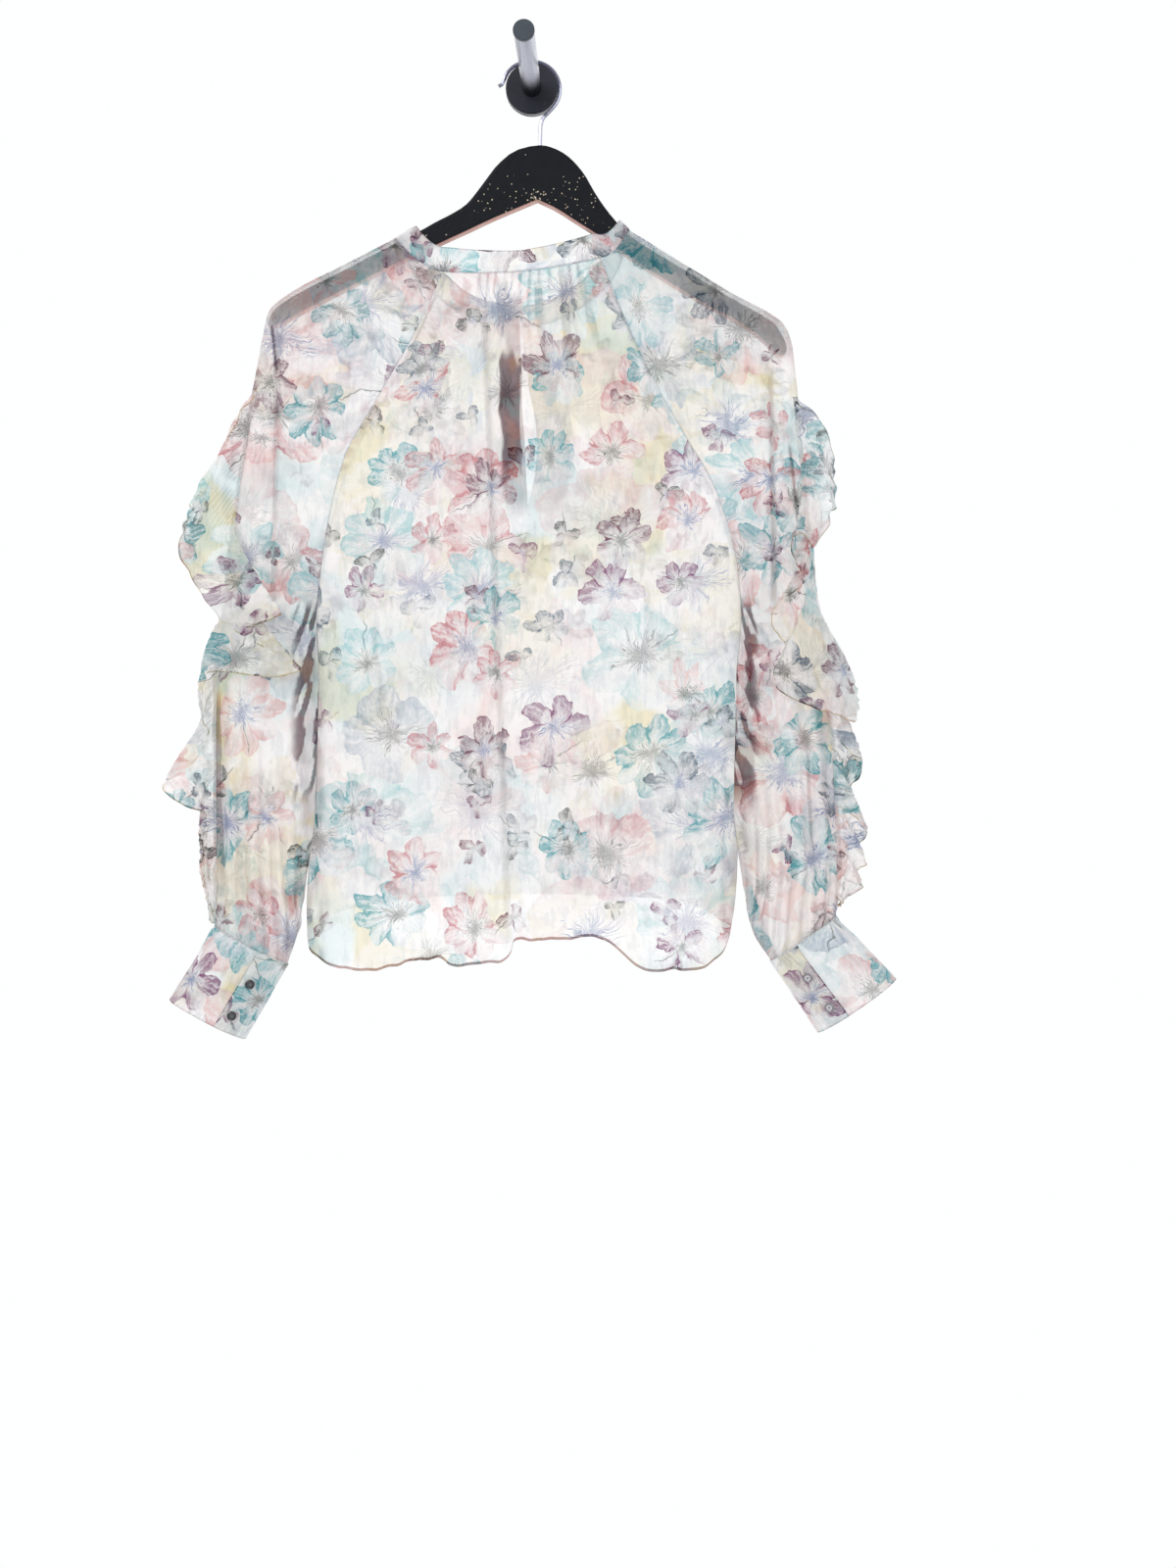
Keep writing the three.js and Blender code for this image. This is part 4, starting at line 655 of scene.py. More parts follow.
def sleeve_creases(around, z, down, a, seed):
    """How high a sleeve's creases stand, and how far they lay the cloth double and darken it with
    painted shade: in its pleats above the cuff, its slack creases, its bunches and along its inner
    seam.
    """
    free = within(down, 0, 0.05, 2, 0.03) * ease(6.4 * a)
    lift = crinkle(around, z, seed) * free
    wander = 2.2 * soft_noise(around / 15, z / 40, seed + 11)
    pleats = np.sin(2 * np.pi * (around + wander) / PLEAT_SPACING)
    to_cuff = ease((down - 1.35) / 0.5) * (0.7 + 0.3 * soft_noise(around / 9, z / 90, seed + 12))
    lift += PLEAT_HEIGHT * pleats * to_cuff * free
    slack = within(down, 0.8, 0.25, 1.75, 0.3)
    slack_creases = soft_noise((around + 0.3 * z) / 13, z / 46, seed + 13)
    lift += SLACK_HEIGHT * slack * free * slack_creases
    rumple = within(down, 1.72, 0.12, 2, 0.1)
    lift += RUMPLE_HEIGHT * rumple * soft_noise(around / 12, z / 11, seed + 14)
    bunched = ease((0.26 - a) / 0.12) * within(down, 0.98, 0.06, 1.62, 0.12)
    creased = soft_noise((around + 0.2 * z) / 4.5, z / 21, seed + 16)
    lift += BUNCH_HEIGHT * bunched * creased * ease(a / 0.04)
    # Painted shade on the pleats above the cuff, on the raised slack creases and along the lower
    # inner seam
    doubled_and_shade = 1.1 * np.clip(pleats, 0, 1) ** 2 * to_cuff + 0.5 * slack * np.clip(lift / 3, 0, 1)
    edge = ease((0.16 - a) / 0.08) * ease((down - 1.2) / 0.2)
    doubled_and_shade += edge * (0.6 + 0.6 * soft_noise(around / 5, z / 12, seed + 15))
    # The last value is painted shade in the bunched creases of the underarm
    return lift, doubled_and_shade, 2.4 * bunched * ease((creased - 0.02) / 0.16)


def sleeve_points(lines):
    """A sleeve's sheet, and how far its cloth lies double and is darkened with painted shade at
    each point.
    """
    a, way = sleeve_round()
    down = sleeve_stops()[:, None] * np.ones_like(a)
    a, way = a * np.ones_like(down), way * np.ones_like(down)
    points = sleeve_surface(lines, down, a, way)
    x, z = points[..., 0], points[..., 2]
    seed = lines["seed"]
    near = way < 0
    lift, doubled_and_shade, dark = sleeve_creases(distance_across(points), z, down, a, seed)
    # Painted shade along the forearm's outer edge, where the cloth also turns and lies double
    outer = ease((a - 0.78) / 0.05) * within(down, 1.2, 0.1, 1.8, 0.15)
    doubled_and_shade += (0.8 * fold_laps(lines["folds"], x, z) + 0.55 * outer) * near
    # Painted shade along the top edge over the shoulder, and in the near side's pleats
    ragged = 0.018 * soft_noise(x / 14, z / 30, seed + 17)
    top_edge = ease((a - 0.95 + ragged) / 0.03) * ease((0.85 - down) / 0.2)
    dark = np.maximum(dark, 0.32 * top_edge)
    dark = np.maximum(dark, pleat_shade(SLEEVE_PLEATS, x, z) * near)
    doubled_and_shade = np.maximum(np.clip(doubled_and_shade, 0, 1.2), dark)
    return push_out(points, lift, lines["arm"]["side"] < 0), doubled_and_shade


def distance_across(points):
    """Each point's distance along its row from the middle column."""
    total = running_length(points[..., :2], 1)
    return total - total[:, points.shape[1] // 2][:, None]


def unit(ways):
    return ways / np.maximum(np.linalg.norm(ways, axis=-1, keepdims=True), 1e-9)


def grid_normals(points, flip):
    along_rows = np.gradient(points, axis=0)
    along_columns = np.gradient(points, axis=1)
    normal = unit(np.cross(along_rows, along_columns))
    return -normal if flip else normal


def push_out(points, lift, flip):
    """Moves a net's points out along its normals."""
    return points + grid_normals(points, flip) * lift[..., None]


# The ruffles
def down_at_edge(lines, z):
    """How far down a sleeve its outer edge has the height z."""
    down = np.linspace(0, 2, 1200)
    edge_z = sleeve_edge(lines, down)[1]
    return np.interp(-z, -edge_z, down)


def sleeve_normal(lines, down, a):
    """Places on a sleeve's near side, and the way out from it toward the camera."""
    way = np.full_like(down, -1.0)
    here = sleeve_surface(lines, down, np.full_like(down, a), way)
    across = sleeve_surface(lines, down, np.full_like(down, a + 0.02), way) - here
    below = sleeve_surface(lines, down + 0.01, np.full_like(down, a), way) - here
    normal = unit(np.cross(across, below))
    return here, np.where(normal[..., 1:2] > 0, -normal, normal)


def keep_clear(lines, points, near):
    """Moves a ruffle's points out of the sleeve: past its outer edge, or on to its near side."""
    side = lines["arm"]["side"]
    down = down_at_edge(lines, points[..., 2])
    way = np.full_like(down, -1.0)
    edge_x = sleeve_edge(lines, down)[0]
    seam_x = sleeve_seam(lines, down, way)[0]
    inside = side * (points[..., 0] - edge_x) <= RUFFLE_CLEAR
    closest = np.full_like(down, HANG_Y)
    for shift in (-0.06, 0, 0.06):
        a = np.clip((points[..., 0] - seam_x) / (edge_x - seam_x) + shift, 0, 1)
        closest = np.minimum(closest, sleeve_surface(lines, down, a, way)[..., 1])
    behind = inside & (near < 2)
    before = inside & (near >= 2)
    points[..., 0] = np.where(behind, edge_x + side * RUFFLE_CLEAR, points[..., 0])
    forward = np.minimum(points[..., 1], closest - RUFFLE_CLEAR)
    points[..., 1] = np.where(before, forward, points[..., 1])
    return points


def ruffle_frame(lines, rows):
    """The ruffle as a coarse net of points, from its root (row 0) to its free edge."""
    side = lines["arm"]["side"]
    stops = np.array([row[1:] for row in rows], float)
    count = (len(rows) - 1) * 2
    swing = np.array([curve_point(stops, i / count) for i in range(count + 1)])
    heights = np.interp(np.arange(count + 1) / 2, np.arange(len(rows)), [row[0] for row in rows])
    out, near, drop = swing.T
    here, normal = sleeve_normal(lines, down_at_edge(lines, heights), RUFFLE_SEAM)
    root = here + normal * RUFFLE_ROOT
    inward = ease(-out / 10)
    net = [root]
    for w in (1 / 6, 1 / 3, 1 / 2, 2 / 3, 5 / 6, 1):
        billow = math.sin(math.pi * w) * mix(2 + 0.12 * drop, 7, inward)
        falling = mix(w, w ** 0.75, inward)
        points = np.stack([
            root[:, 0] + side * out * w + side * billow * (1 - inward),
            root[:, 1] - near * falling - billow * inward,
            root[:, 2] - drop * w,
        ], axis=-1)
        net.append(keep_clear(lines, points, near))
    return np.array(net)


def finer(points, steps):
    """The rows of a net joined by smooth curves, with this many steps between two of them."""
    padded = np.concatenate([2 * points[:1] - points[1:2], points, 2 * points[-1:] - points[-2:-1]])
    rows = []
    for i in range(len(points) - 1):
        p0, p1, p2, p3 = padded[i:i + 4]
        for k in range(steps):
            w = k / steps
            rows.append(0.5 * (2 * p1 + (p2 - p0) * w + (2 * p0 - 5 * p1 + 4 * p2 - p3) * w ** 2
                               + (3 * p1 - p0 - 3 * p2 + p3) * w ** 3))
    rows.append(points[-1])
    return np.array(rows)


def ruffle_points(lines, rows):
    """A ruffle's sheet, waved at its edge and gathered at its root, and where it lies double and is
    darkened with painted shade: in its root gathers and the hollows of its waves.
    """
    net = ruffle_frame(lines, rows)
    points = finer(net, RUFFLE_ROWS)
    points = finer(points.transpose(1, 0, 2), RUFFLE_FINE).transpose(1, 0, 2)
    w = np.linspace(0, 1, len(points))[:, None]
    run = running_length(points, 1)
    seed = lines["seed"] + 30
    wander = 0.8 * soft_noise(run / 33, w * 2, seed)
    lettuce = np.sin(2 * np.pi * (run / LETTUCE_SPACING + wander))
    uneven = 0.7 + 0.5 * soft_noise(run / 37, w, seed + 3)
    lift = LETTUCE_HEIGHT * uneven * lettuce * ease((w - 0.2) / 0.8)
    gathers = np.sin(2 * np.pi * (run / ROOT_SPACING + soft_noise(run / 15, w, seed + 1)))
    near_root = (1 - ease(w / 0.6)) * ease(w / 0.08)
    lift += ROOT_HEIGHT * gathers * near_root
    lift += 0.6 * soft_noise(run / 9, w * 5, seed + 2) * ease(w / 0.15)
    # Painted shade in the gathers at the root and in the hollows of the waves
    doubled_and_shade = 0.7 * np.clip(gathers, 0, 1) * near_root
    doubled_and_shade += 0.22 * np.clip(-lettuce, 0, 1) * ease(w / 0.3)
    return push_out(points, lift, lines["arm"]["side"] > 0), np.clip(doubled_and_shade, 0, 1)


# The cuffs
def cuff_frame(lines):
    arm = lines["arm"]
    ends = [lines[name][0][-1] for name in ("forearm_inner", "forearm_outer")]
    inner, outer = (np.array([x, HANG_Y, z]) for x, z in ends)
    span = inner - outer
    width = np.linalg.norm(span)
    return {"centre": (inner + outer) / 2, "across": span / width, "half": width / 2,
            "axis": np.array(arm["cuff_axis"]), "widen": arm["cuff_widen"]}


def cuff_surface(frame, degrees, down, lift):
    angle = np.radians(degrees)
    grow = mix(1, frame["widen"], down)
    width = frame["half"] * grow + lift
    depth = CUFF_DEPTH * grow + lift
    points = frame["centre"] + frame["axis"] * (CUFF_HEIGHT * down)[..., None]
    points = points + frame["across"] * (width * np.cos(angle))[..., None]
    points[..., 1] -= depth * np.sin(angle)
    return points


def cuff_points(lines):
    """A cuff's sheet, whose end laps over its start, with a few dents."""
    down, turned = grid(CUFF_ROWS, CUFF_COLUMNS)
    turned = turned * CUFF_TURN
    lift = CUFF_OVERLAP_LIFT * ease((turned - 300) / 50)
    points = cuff_surface(cuff_frame(lines), CUFF_START + turned, down, lift)
    seed = lines["seed"] + 60
    free = ease(down / 0.1) * within(turned, 0, 40, 340, 30)
    dents = 1.5 * soft_noise(turned / 34, down * 2.2, seed) * free
    dents += 0.35 * soft_noise(turned / 9, down * 6, seed + 1) * ease((350 - turned) / 20)
    return push_out(points, dents, lines["arm"]["side"] < 0)


# The neck band
def band_part(points, normals, first, last, share):
    """Stations along the neck seam: place, rise and way out. share is how far from the named
    first rise to the last."""
    rises = mix(np.array(BAND_RISE[first], float), np.array(BAND_RISE[last], float),
                share[:, None])
    return np.concatenate([points, rises, normals * np.ones_like(points)], axis=1)


def neck_points(layer, across):
    return body_surface(layer, np.zeros_like(across), across)[0]


def front_neck(first, last, share, start, end):
    """A stretch of the front's neck line, from x first to x last."""
    left, right = FRONT_NECK[0][0], FRONT_NECK[-1][0]
    across = (mix(first, last, share) - left) / (right - left)
    to_wall = np.array([0, 1.0, 0])
    return band_part(neck_points(FRONT_LAYER, across), to_wall, start, end, share)


def over_shoulder(lines, first, middle, last):
    """Stations over one shoulder, on the sleeve's top edge."""
    a, way = sleeve_round()
    top = sleeve_surface(lines, np.zeros_like(a), a, way)
    half = SLEEVE_COLUMNS
    outward = np.stack([lines["arm"]["side"] * a ** 6, way * (1 - a ** 6), a ** 6], axis=1)
    share = (1 - np.cos(np.pi * np.arange(half + 1) / half)) / 2
    start = band_part(top[:half + 1], outward[:half + 1], first, middle, share)
    end = band_part(top[half:], outward[half:], middle, last, share)
    return np.concatenate([start, end[1:]])


def band_stations():
    """Points, rises and outward ways, from the slit's left edge round the neck to its right."""
    half = FRONT_HALF_COLUMNS // 2
    steps = np.arange(half + 1) / half
    across = np.arange(1, BACK_COLUMNS) / BACK_COLUMNS
    middle = BACK_COLUMNS // 2
    back = neck_points(BACK_LAYER, across)
    to_camera = np.array([0, -1.0, 0])
    return np.concatenate([
        front_neck(SLIT["left"][0], FRONT_NECK[0][0], steps[:-1], "centre_front", "left_front"),
        over_shoulder(LEFT_LINES, "left_back", "left_shoulder", "left_front")[::-1],
        band_part(back[:middle], to_camera, "left_back", "centre_back", across[:middle] * 2),
        band_part(back[middle:], to_camera, "centre_back", "right_back",
                  across[middle:] * 2 - 1),
        over_shoulder(RIGHT_LINES, "right_back", "right_shoulder", "right_front"),
        front_neck(FRONT_NECK[-1][0], SLIT["right"][0], steps[1:], "right_front",
                   "centre_front"),
    ])


def band_points():
    """The neck band's sheet, from its free edge down to its seam."""
    stations = band_stations()
    up = np.linspace(0, 1, BAND_ROWS + 1)[::-1][:, None, None]
    points = stations[None, :, :3] + stations[None, :, 3:6] * up
    run = distance_across(points)
    swell = 0.5 * np.sin(np.pi * up[..., 0]) + 0.25 * soft_noise(run / 14, up[..., 0] * 2, 203)
    return points + stations[None, :, 6:9] * swell[..., None]


# Making the sheets
def select_only(*objects):
    """Selects these and nothing else. The last one is the active one."""
    bpy.ops.object.select_all(action="DESELECT")
    for chosen in objects:
        chosen.select_set(True)
        bpy.context.view_layer.objects.active = chosen


def join_by_place(points):
    """A grid object whose points are put in their places."""
    rows, columns = points.shape[0] - 1, points.shape[1] - 1
    select_only()
    bpy.ops.mesh.primitive_grid_add(x_subdivisions=columns, y_subdivisions=rows, size=2)
    sheet = bpy.context.object
    mesh = sheet.data
    flat = np.empty(len(mesh.vertices) * 3)
    mesh.vertices.foreach_get("co", flat)
    flat = flat.reshape(-1, 3)
    column = np.rint((flat[:, 0] + 1) / 2 * columns).astype(int)
    row = np.rint((flat[:, 1] + 1) / 2 * rows).astype(int)
    mesh.vertices.foreach_set("co", (points[row, column] * MM).ravel())
    return sheet, row, column


def edge_distance(points, edges):
    """The least distance of each point from the named edges, along the cloth."""
    far = np.full(points.shape[:2], 999.0)
    for name in edges:
        axis = 0 if name in ("top", "bottom") else 1
        run = running_length(points, axis)
        if name in ("bottom", "right"):
            run = np.take(run, [-1], axis=axis) - run
        far = np.minimum(far, run)
    return far


def cloth_map(points):
    """Flat places on the printed cloth: level distance from the middle column, and height."""
    middle = points.shape[1] // 2
    level = distance_across(points)
    start = points[:, middle, 0][:, None]
    sign = np.sign(points[0, -1, 0] - points[0, 0, 0]) or 1
    return np.stack([start * sign + level, -points[..., 2]], axis=-1)


def sleeve_map(points):
    """Flat places on a sleeve. Over the sloping shoulder its far side is laid straight again."""
    places = cloth_map(points)
    level = distance_across(points)
    reach = np.abs(points[:, points.shape[1] // 2, 0])
    shoulder_end = reach[np.argmin(np.abs(sleeve_stops() - SHOULDER_END))]
    gap = np.maximum(0, shoulder_end - reach)[:, None]
    places[..., 0] += 2 * gap * ease(level / 12)
    return places


def hanging_map(points):
    """Flat places for a gathered strip: the print lies as the strip hangs."""
    return np.stack([points[..., 0] + 0.6 * (points[..., 1] - HANG_Y), -points[..., 2]], axis=-1)


def strip_map(points):
    """Flat places on a long strip: along its middle row, and down it."""
    run = running_length(points[points.shape[0] // 2], 0)
    down = running_length(points, 0)
    return np.stack([run * np.ones_like(down), down], axis=-1)


def front_map(points):
    """Flat places on the front, which is cut a little wider than it hangs."""
    return np.stack([points[..., 0] * 1.04, -points[..., 2]], axis=-1)


def write_uv(mesh, places):
    layer = mesh.uv_layers[0] if mesh.uv_layers else mesh.uv_layers.new(name="UVMap")
    layer.name = "UVMap"
    corners = np.empty(len(mesh.loops), int)
    mesh.loops.foreach_get("vertex_index", corners)
    layer.data.foreach_set("uv", places[corners].ravel())


def write_attribute(mesh, name, values):
    layer = mesh.attributes.new(name, "FLOAT", "POINT")
    layer.data.foreach_set("value", values.astype(float))


def make_sheet(name, points, places, cut, hems, seams, flip, doubled_and_shade=None):
    """A grid of cloth with its flat print map and its distances from hems and seams."""
    sheet, row, column = join_by_place(points)
    mesh = sheet.data
    sheet.name = mesh.name = name
    flat = places * MM + np.array(CUT_FROM[cut])
    write_uv(mesh, flat[row, column])
    write_attribute(mesh, "from_hem", edge_distance(points, hems)[row, column])
    write_attribute(mesh, "from_seam", edge_distance(points, seams)[row, column])
    # Where the cloth lies double and where painted shade darkens it, as the material reads them
    if doubled_and_shade is not None:
        write_attribute(mesh, "doubled_and_shade", doubled_and_shade[row, column])
    if flip:
        mesh.flip_normals()
    return sheet


def give_wall(sheet, thickness):
    """The cloth's thickness, half to each side."""
    select_only(sheet)
    wall = sheet.modifiers.new("wall", "SOLIDIFY")
    wall.thickness = thickness * MM
    wall.offset = 0
    wall.use_rim = True
    bpy.ops.object.modifier_apply(modifier=wall.name)
    bpy.ops.object.shade_smooth()


def merge_middle(first, second, name):
    """Two halves joined, with the points that lie on each other made one."""
    select_only(second, first)
    bpy.ops.object.join()
    bpy.ops.object.mode_set(mode="EDIT")
    bpy.ops.mesh.select_all(action="SELECT")
    bpy.ops.mesh.remove_doubles(threshold=0.00002)
    bpy.ops.object.mode_set(mode="OBJECT")
    first.name = first.data.name = name
    return first


def dress(sheet, thickness, material, node):
    give_wall(sheet, thickness)
    sheet.data.materials.clear()
    sheet.data.materials.append(material)
    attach(sheet, "root")
    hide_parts(node)


# Materials
def linear(red, green, blue):
    """A colour given as it looks on a screen (0 to 255), as the shader wants it."""
    parts = [value / 255 for value in (red, green, blue)]
    return tuple(p / 12.92 if p <= 0.04045 else ((p + 0.055) / 1.055) ** 2.4
                 for p in parts) + (1.0,)


def times(colour, factor):
    return tuple(factor * part for part in colour[:3]) + (1.0,)


class Value:
    """What a node gives out. Numbers among them can be added, taken away and multiplied."""

    def __init__(self, recipe, socket):
        self.recipe = recipe
        self.socket = socket

    def output(self, name):
        """Another output of the same node."""
        return Value(self.recipe, self.socket.node.outputs[name])

    def __add__(self, other):
        return self.recipe.math("ADD", self, other)

    def __sub__(self, other):
        return self.recipe.math("SUBTRACT", self, other)

    def __rsub__(self, other):
        return self.recipe.math("SUBTRACT", other, self)

    def __mul__(self, other):
        return self.recipe.math("MULTIPLY", self, other)


class Recipe:
    """A material's nodes, made one after the other."""

    def __init__(self, name):
        self.material = bpy.data.materials.new(name)
        self.material.use_nodes = True
        self.nodes = self.material.node_tree.nodes
        self.links = self.material.node_tree.links
        self.nodes.clear()
        self.surface = self.nodes.new("ShaderNodeOutputMaterial").inputs["Surface"]
        self.place = self.add("TexCoord").output("Object")

    def put(self, socket, value):
        if isinstance(value, Value):
            self.links.new(value.socket, socket)
        else:
            socket.default_value = value

    def add(self, kind, inputs=(), **settings):
        node = self.nodes.new("ShaderNode" + kind)
        for key, value in settings.items():
            setattr(node, key, value)
        for key, value in dict(inputs).items():
            self.put(node.inputs[key], value)
        return Value(self, node.outputs[0])

    def parts(self, value, kind="XYZ"):
        """The three numbers of a place, or with kind Color those of a colour."""
        first = self.add("Separate" + kind, {0: value})
        return [first.output(i) for i in range(3)]

    def math(self, operation, a, b=0.0, clamp=False):
        return self.add("Math", {0: a, 1: b}, operation=operation, use_clamp=clamp)

    def vector(self, operation, a, b=(0, 0, 0)):
        made = self.add("VectorMath", {0: a, 1: b}, operation=operation)
        return made.output("Value") if operation in ("LENGTH", "DOT_PRODUCT") else made

    def scaled(self, vector, factor):
        return self.add("VectorMath", {0: vector, "Scale": factor}, operation="SCALE")

    def ramp(self, value, low, high, to_low=0.0, to_high=1.0):
        """A value's way from low to high, smoothed, as a number from to_low to to_high."""
        return self.add("MapRange", {0: value, 1: low, 2: high, 3: to_low, 4: to_high},
                        interpolation_type="SMOOTHSTEP")

    def noise(self, where, scale, detail=2.0, rough=0.5, dimensions="3D"):
        return self.add("TexNoise", {"Vector": where, "Scale": scale, "Detail": detail,
                                     "Roughness": rough}, noise_dimensions=dimensions)

    def flat_noise(self, where, scale, detail=2.0, rough=0.5):
        return self.noise(where, scale, detail, rough, "2D")

    def colours(self, value, stops, interpolation="LINEAR"):
        made = self.add("ValToRGB", {0: value})
        ramp = made.socket.node.color_ramp
        ramp.interpolation = interpolation
        while len(ramp.elements) < len(stops):
            ramp.elements.new(1.0)
        for element, (position, colour) in zip(ramp.elements, stops):
            element.position = position
            element.color = colour
        return made

    def blend(self, amount, first, second, how="MIX"):
        made = self.add("Mix", {0: amount, 6: first, 7: second}, data_type="RGBA", blend_type=how)
        return made.output(2)

    def stain(self, amount, first, second):
        return self.blend(amount, first, second, "MULTIPLY")

    def bump(self, height, strength, distance):
        return self.add("Bump", {"Strength": strength, "Distance": distance, "Height": height})

    def mix_shaders(self, amount, first, second):
        return self.add("MixShader", {0: amount, 1: first, 2: second})

    def finish(self, shader):
        self.put(self.surface, shader)
        return self.material

    def finish_solid(self, colour, rough, others=()):
        return self.finish(self.add("BsdfPrincipled", {"Base Color": colour, "Roughness": rough,
                                                       **dict(others)}))


INK = {
    "teal": linear(108, 182, 190), "aqua": linear(176, 220, 224), "rose": linear(214, 150, 156),
    "pink": linear(238, 204, 202), "blush": linear(246, 226, 222), "mauve": linear(150, 100, 138),
    "plum": linear(134, 84, 108), "slate": linear(116, 134, 148), "moss_shade": linear(100, 112, 114),
    "grey_blue": linear(172, 188, 204), "cream": linear(246, 241, 222),
    "yellow": linear(243, 235, 200), "stem": linear(92, 100, 98), "stamen": linear(92, 100, 92),
    "blue": linear(112, 134, 182), "white": linear(253, 253, 253),
    "shade": linear(116, 92, 102), "rust_shade": linear(146, 106, 100),
}


# The print's flowers, from the largest and palest to the buds: how many cells to a metre, the
# petals, how much of its cell a flower fills, how deep the notches are, the share of cells that
# have one, how strong its ink is, how much it hides, and how dark its heart is
FLOWERS = (
    {"cells": 8.0, "shift": 3.1, "petals": 5.0, "reach": 0.62, "notch": 0.62, "show": 0.95,
     "depth": 0.27, "cover": 0.5, "heart": 0.25,
     "inks": ("pink", "aqua", "yellow", "grey_blue", "blush", "rose")},
    {"cells": 10.5, "shift": 17.7, "petals": 5.0, "reach": 0.56, "notch": 0.6, "show": 0.85,
     "depth": 0.62, "cover": 0.6, "heart": 0.6,
     "inks": ("rose", "pink", "aqua", "cream", "grey_blue", "rose")},
    {"cells": 13.5, "shift": 29.3, "petals": 8.0, "reach": 0.5, "notch": 0.66, "show": 0.6,
     "depth": 0.85, "cover": 0.75, "heart": 0.75,
     "inks": ("teal", "slate", "rose", "aqua", "teal", "pink")},
    {"cells": 18.0, "shift": 41.3, "petals": 6.0, "reach": 0.5, "notch": 0.45, "show": 0.36,
     "depth": 0.78, "cover": 0.6, "heart": 0.8,
     "inks": ("mauve", "slate", "rose", "teal", "plum", "pink")},
    {"cells": 24.0, "shift": 57.9, "petals": 3.0, "reach": 0.34, "notch": 0.12, "show": 0.3,
     "depth": 0.9, "cover": 0.2, "heart": 0.5, "inks": ("stem", "plum", "slate", "mauve")},
)


def flower_cells(recipe, where, kind):
    """Scattered flower centres: the way from the nearest one, and its own random numbers."""
    shift = kind["shift"]
    moved = recipe.vector("ADD", recipe.scaled(where, kind["cells"]), (shift, shift * 0.37, 0))
    scatter = recipe.add("TexVoronoi", {"Vector": moved, "Scale": 1.0, "Randomness": 0.8},
                         voronoi_dimensions="2D", feature="F1")
    local = recipe.vector("SUBTRACT", moved, scatter.output("Position"))
    return local, recipe.parts(scatter.output("Color"), "Color")


def flower_shape(recipe, local, chances, kind):
    """How far out in a flower a place is (0 centre, 1 rim), and how near a petal's middle."""
    x, y, _ = recipe.parts(local)
    angle = recipe.math("ARCTAN2", y, x)
    lobes = recipe.math("COSINE", angle * kind["petals"] + chances[1] * 6.2)
    bulge = recipe.math("POWER", lobes * 0.49 + 0.51, 0.42)
    size = chances[2] * (kind["reach"] * 0.5) + kind["reach"] * 0.66
    rim = size * (bulge * (1 - kind["notch"]) + kind["notch"])
    return recipe.math("DIVIDE", recipe.vector("LENGTH", local), rim), lobes


def paint_stem(recipe, paper, local, chances, shown, thin):
    """A thin stem that leaves some flowers' hearts, bending a little."""
    turn = chances[0] * 37.0
    cosine = recipe.math("COSINE", turn)
    sine = recipe.math("SINE", turn)
    straight = recipe.add("CombineXYZ", {0: cosine, 1: sine})
    across = recipe.add("CombineXYZ", {0: sine, 1: cosine * -1.0})
    out = recipe.vector("DOT_PRODUCT", local, straight)
    off = recipe.vector("DOT_PRODUCT", local, across) + out * out * 0.35
    line = recipe.ramp(recipe.math("ABSOLUTE", off), thin, thin * 0.4)
    line = line * recipe.ramp(out, 0.1, 0.16) * recipe.ramp(out, 0.5, 0.38)
    line = line * recipe.ramp(chances[1], 0.6, 0.62)
    return recipe.blend(line * shown * 0.6, paper, INK["stem"])


def petal_ink(recipe, where, direction, far, lobes):
    """How strong the ink is in a petal: streaked, gathered at its rim, and veined at its heart."""
    wide = recipe.flat_noise(recipe.vector("ADD", direction, recipe.scaled(where, 0.9)), 1.25, 0.0)
    away = recipe.add("CombineXYZ", {2: far * 1.6})
    streaks = recipe.noise(recipe.vector("ADD", recipe.scaled(direction, 7.0), away),
                           1.8, 3.0, 0.65)
    strength = recipe.ramp(far, 0.2, 0.8, 0.04, 0.85) * recipe.ramp(streaks, 0.32, 0.6, 0.35, 1.2)
    strength = strength + recipe.ramp(lobes, -0.75, -0.97) * recipe.ramp(far, 0.2, 0.5) * 0.45
    strength = strength + recipe.ramp(far, 0.9, 0.97, 0.0, 0.42)
    strength = strength * recipe.ramp(wide, 0.34, 0.6, 0.2)
    veins = recipe.ramp(streaks, 0.58, 0.66, 0.0, 0.6) * recipe.ramp(far, 0.95, 0.3)
    return strength + veins


def paint_flowers(recipe, paper, where, kind):
    """One layer of watercolour flowers, their ink gathered in the outer half of the petals."""
    local, chances = flower_cells(recipe, where, kind)
    far, lobes = flower_shape(recipe, local, chances, kind)
    bare = 1 - kind["show"]
    shown = recipe.ramp(chances[0], bare - 0.01, bare + 0.01)
    body = recipe.ramp(far, 1.0, 0.95) * shown
    stops = [(i / len(kind["inks"]), INK[name]) for i, name in enumerate(kind["inks"])]
    ink = recipe.colours(recipe.math("FRACT", chances[1] * 7.3), stops, "CONSTANT")
    direction = recipe.vector("NORMALIZE", local)
    strength = petal_ink(recipe, where, direction, far, lobes) * kind["depth"]
    painted = recipe.blend(body * kind["cover"], paper, INK["white"])
    painted = recipe.stain(recipe.math("MULTIPLY", strength, body, clamp=True), painted, ink)
    painted = paint_stem(recipe, painted, local, chances, shown, STEM_WIDTH * kind["cells"])
    hairs = recipe.flat_noise(recipe.scaled(direction, 11.0), 1.9, 1.0)
    stamens = recipe.ramp(hairs * 1.15 - 0.34 - far, 0.0, 0.05, 0.0, kind["heart"]) * shown
    stamen_ink = recipe.blend(recipe.ramp(chances[2], 0.62, 0.64), INK["stamen"], INK["blue"])
    return recipe.blend(stamens, painted, stamen_ink)


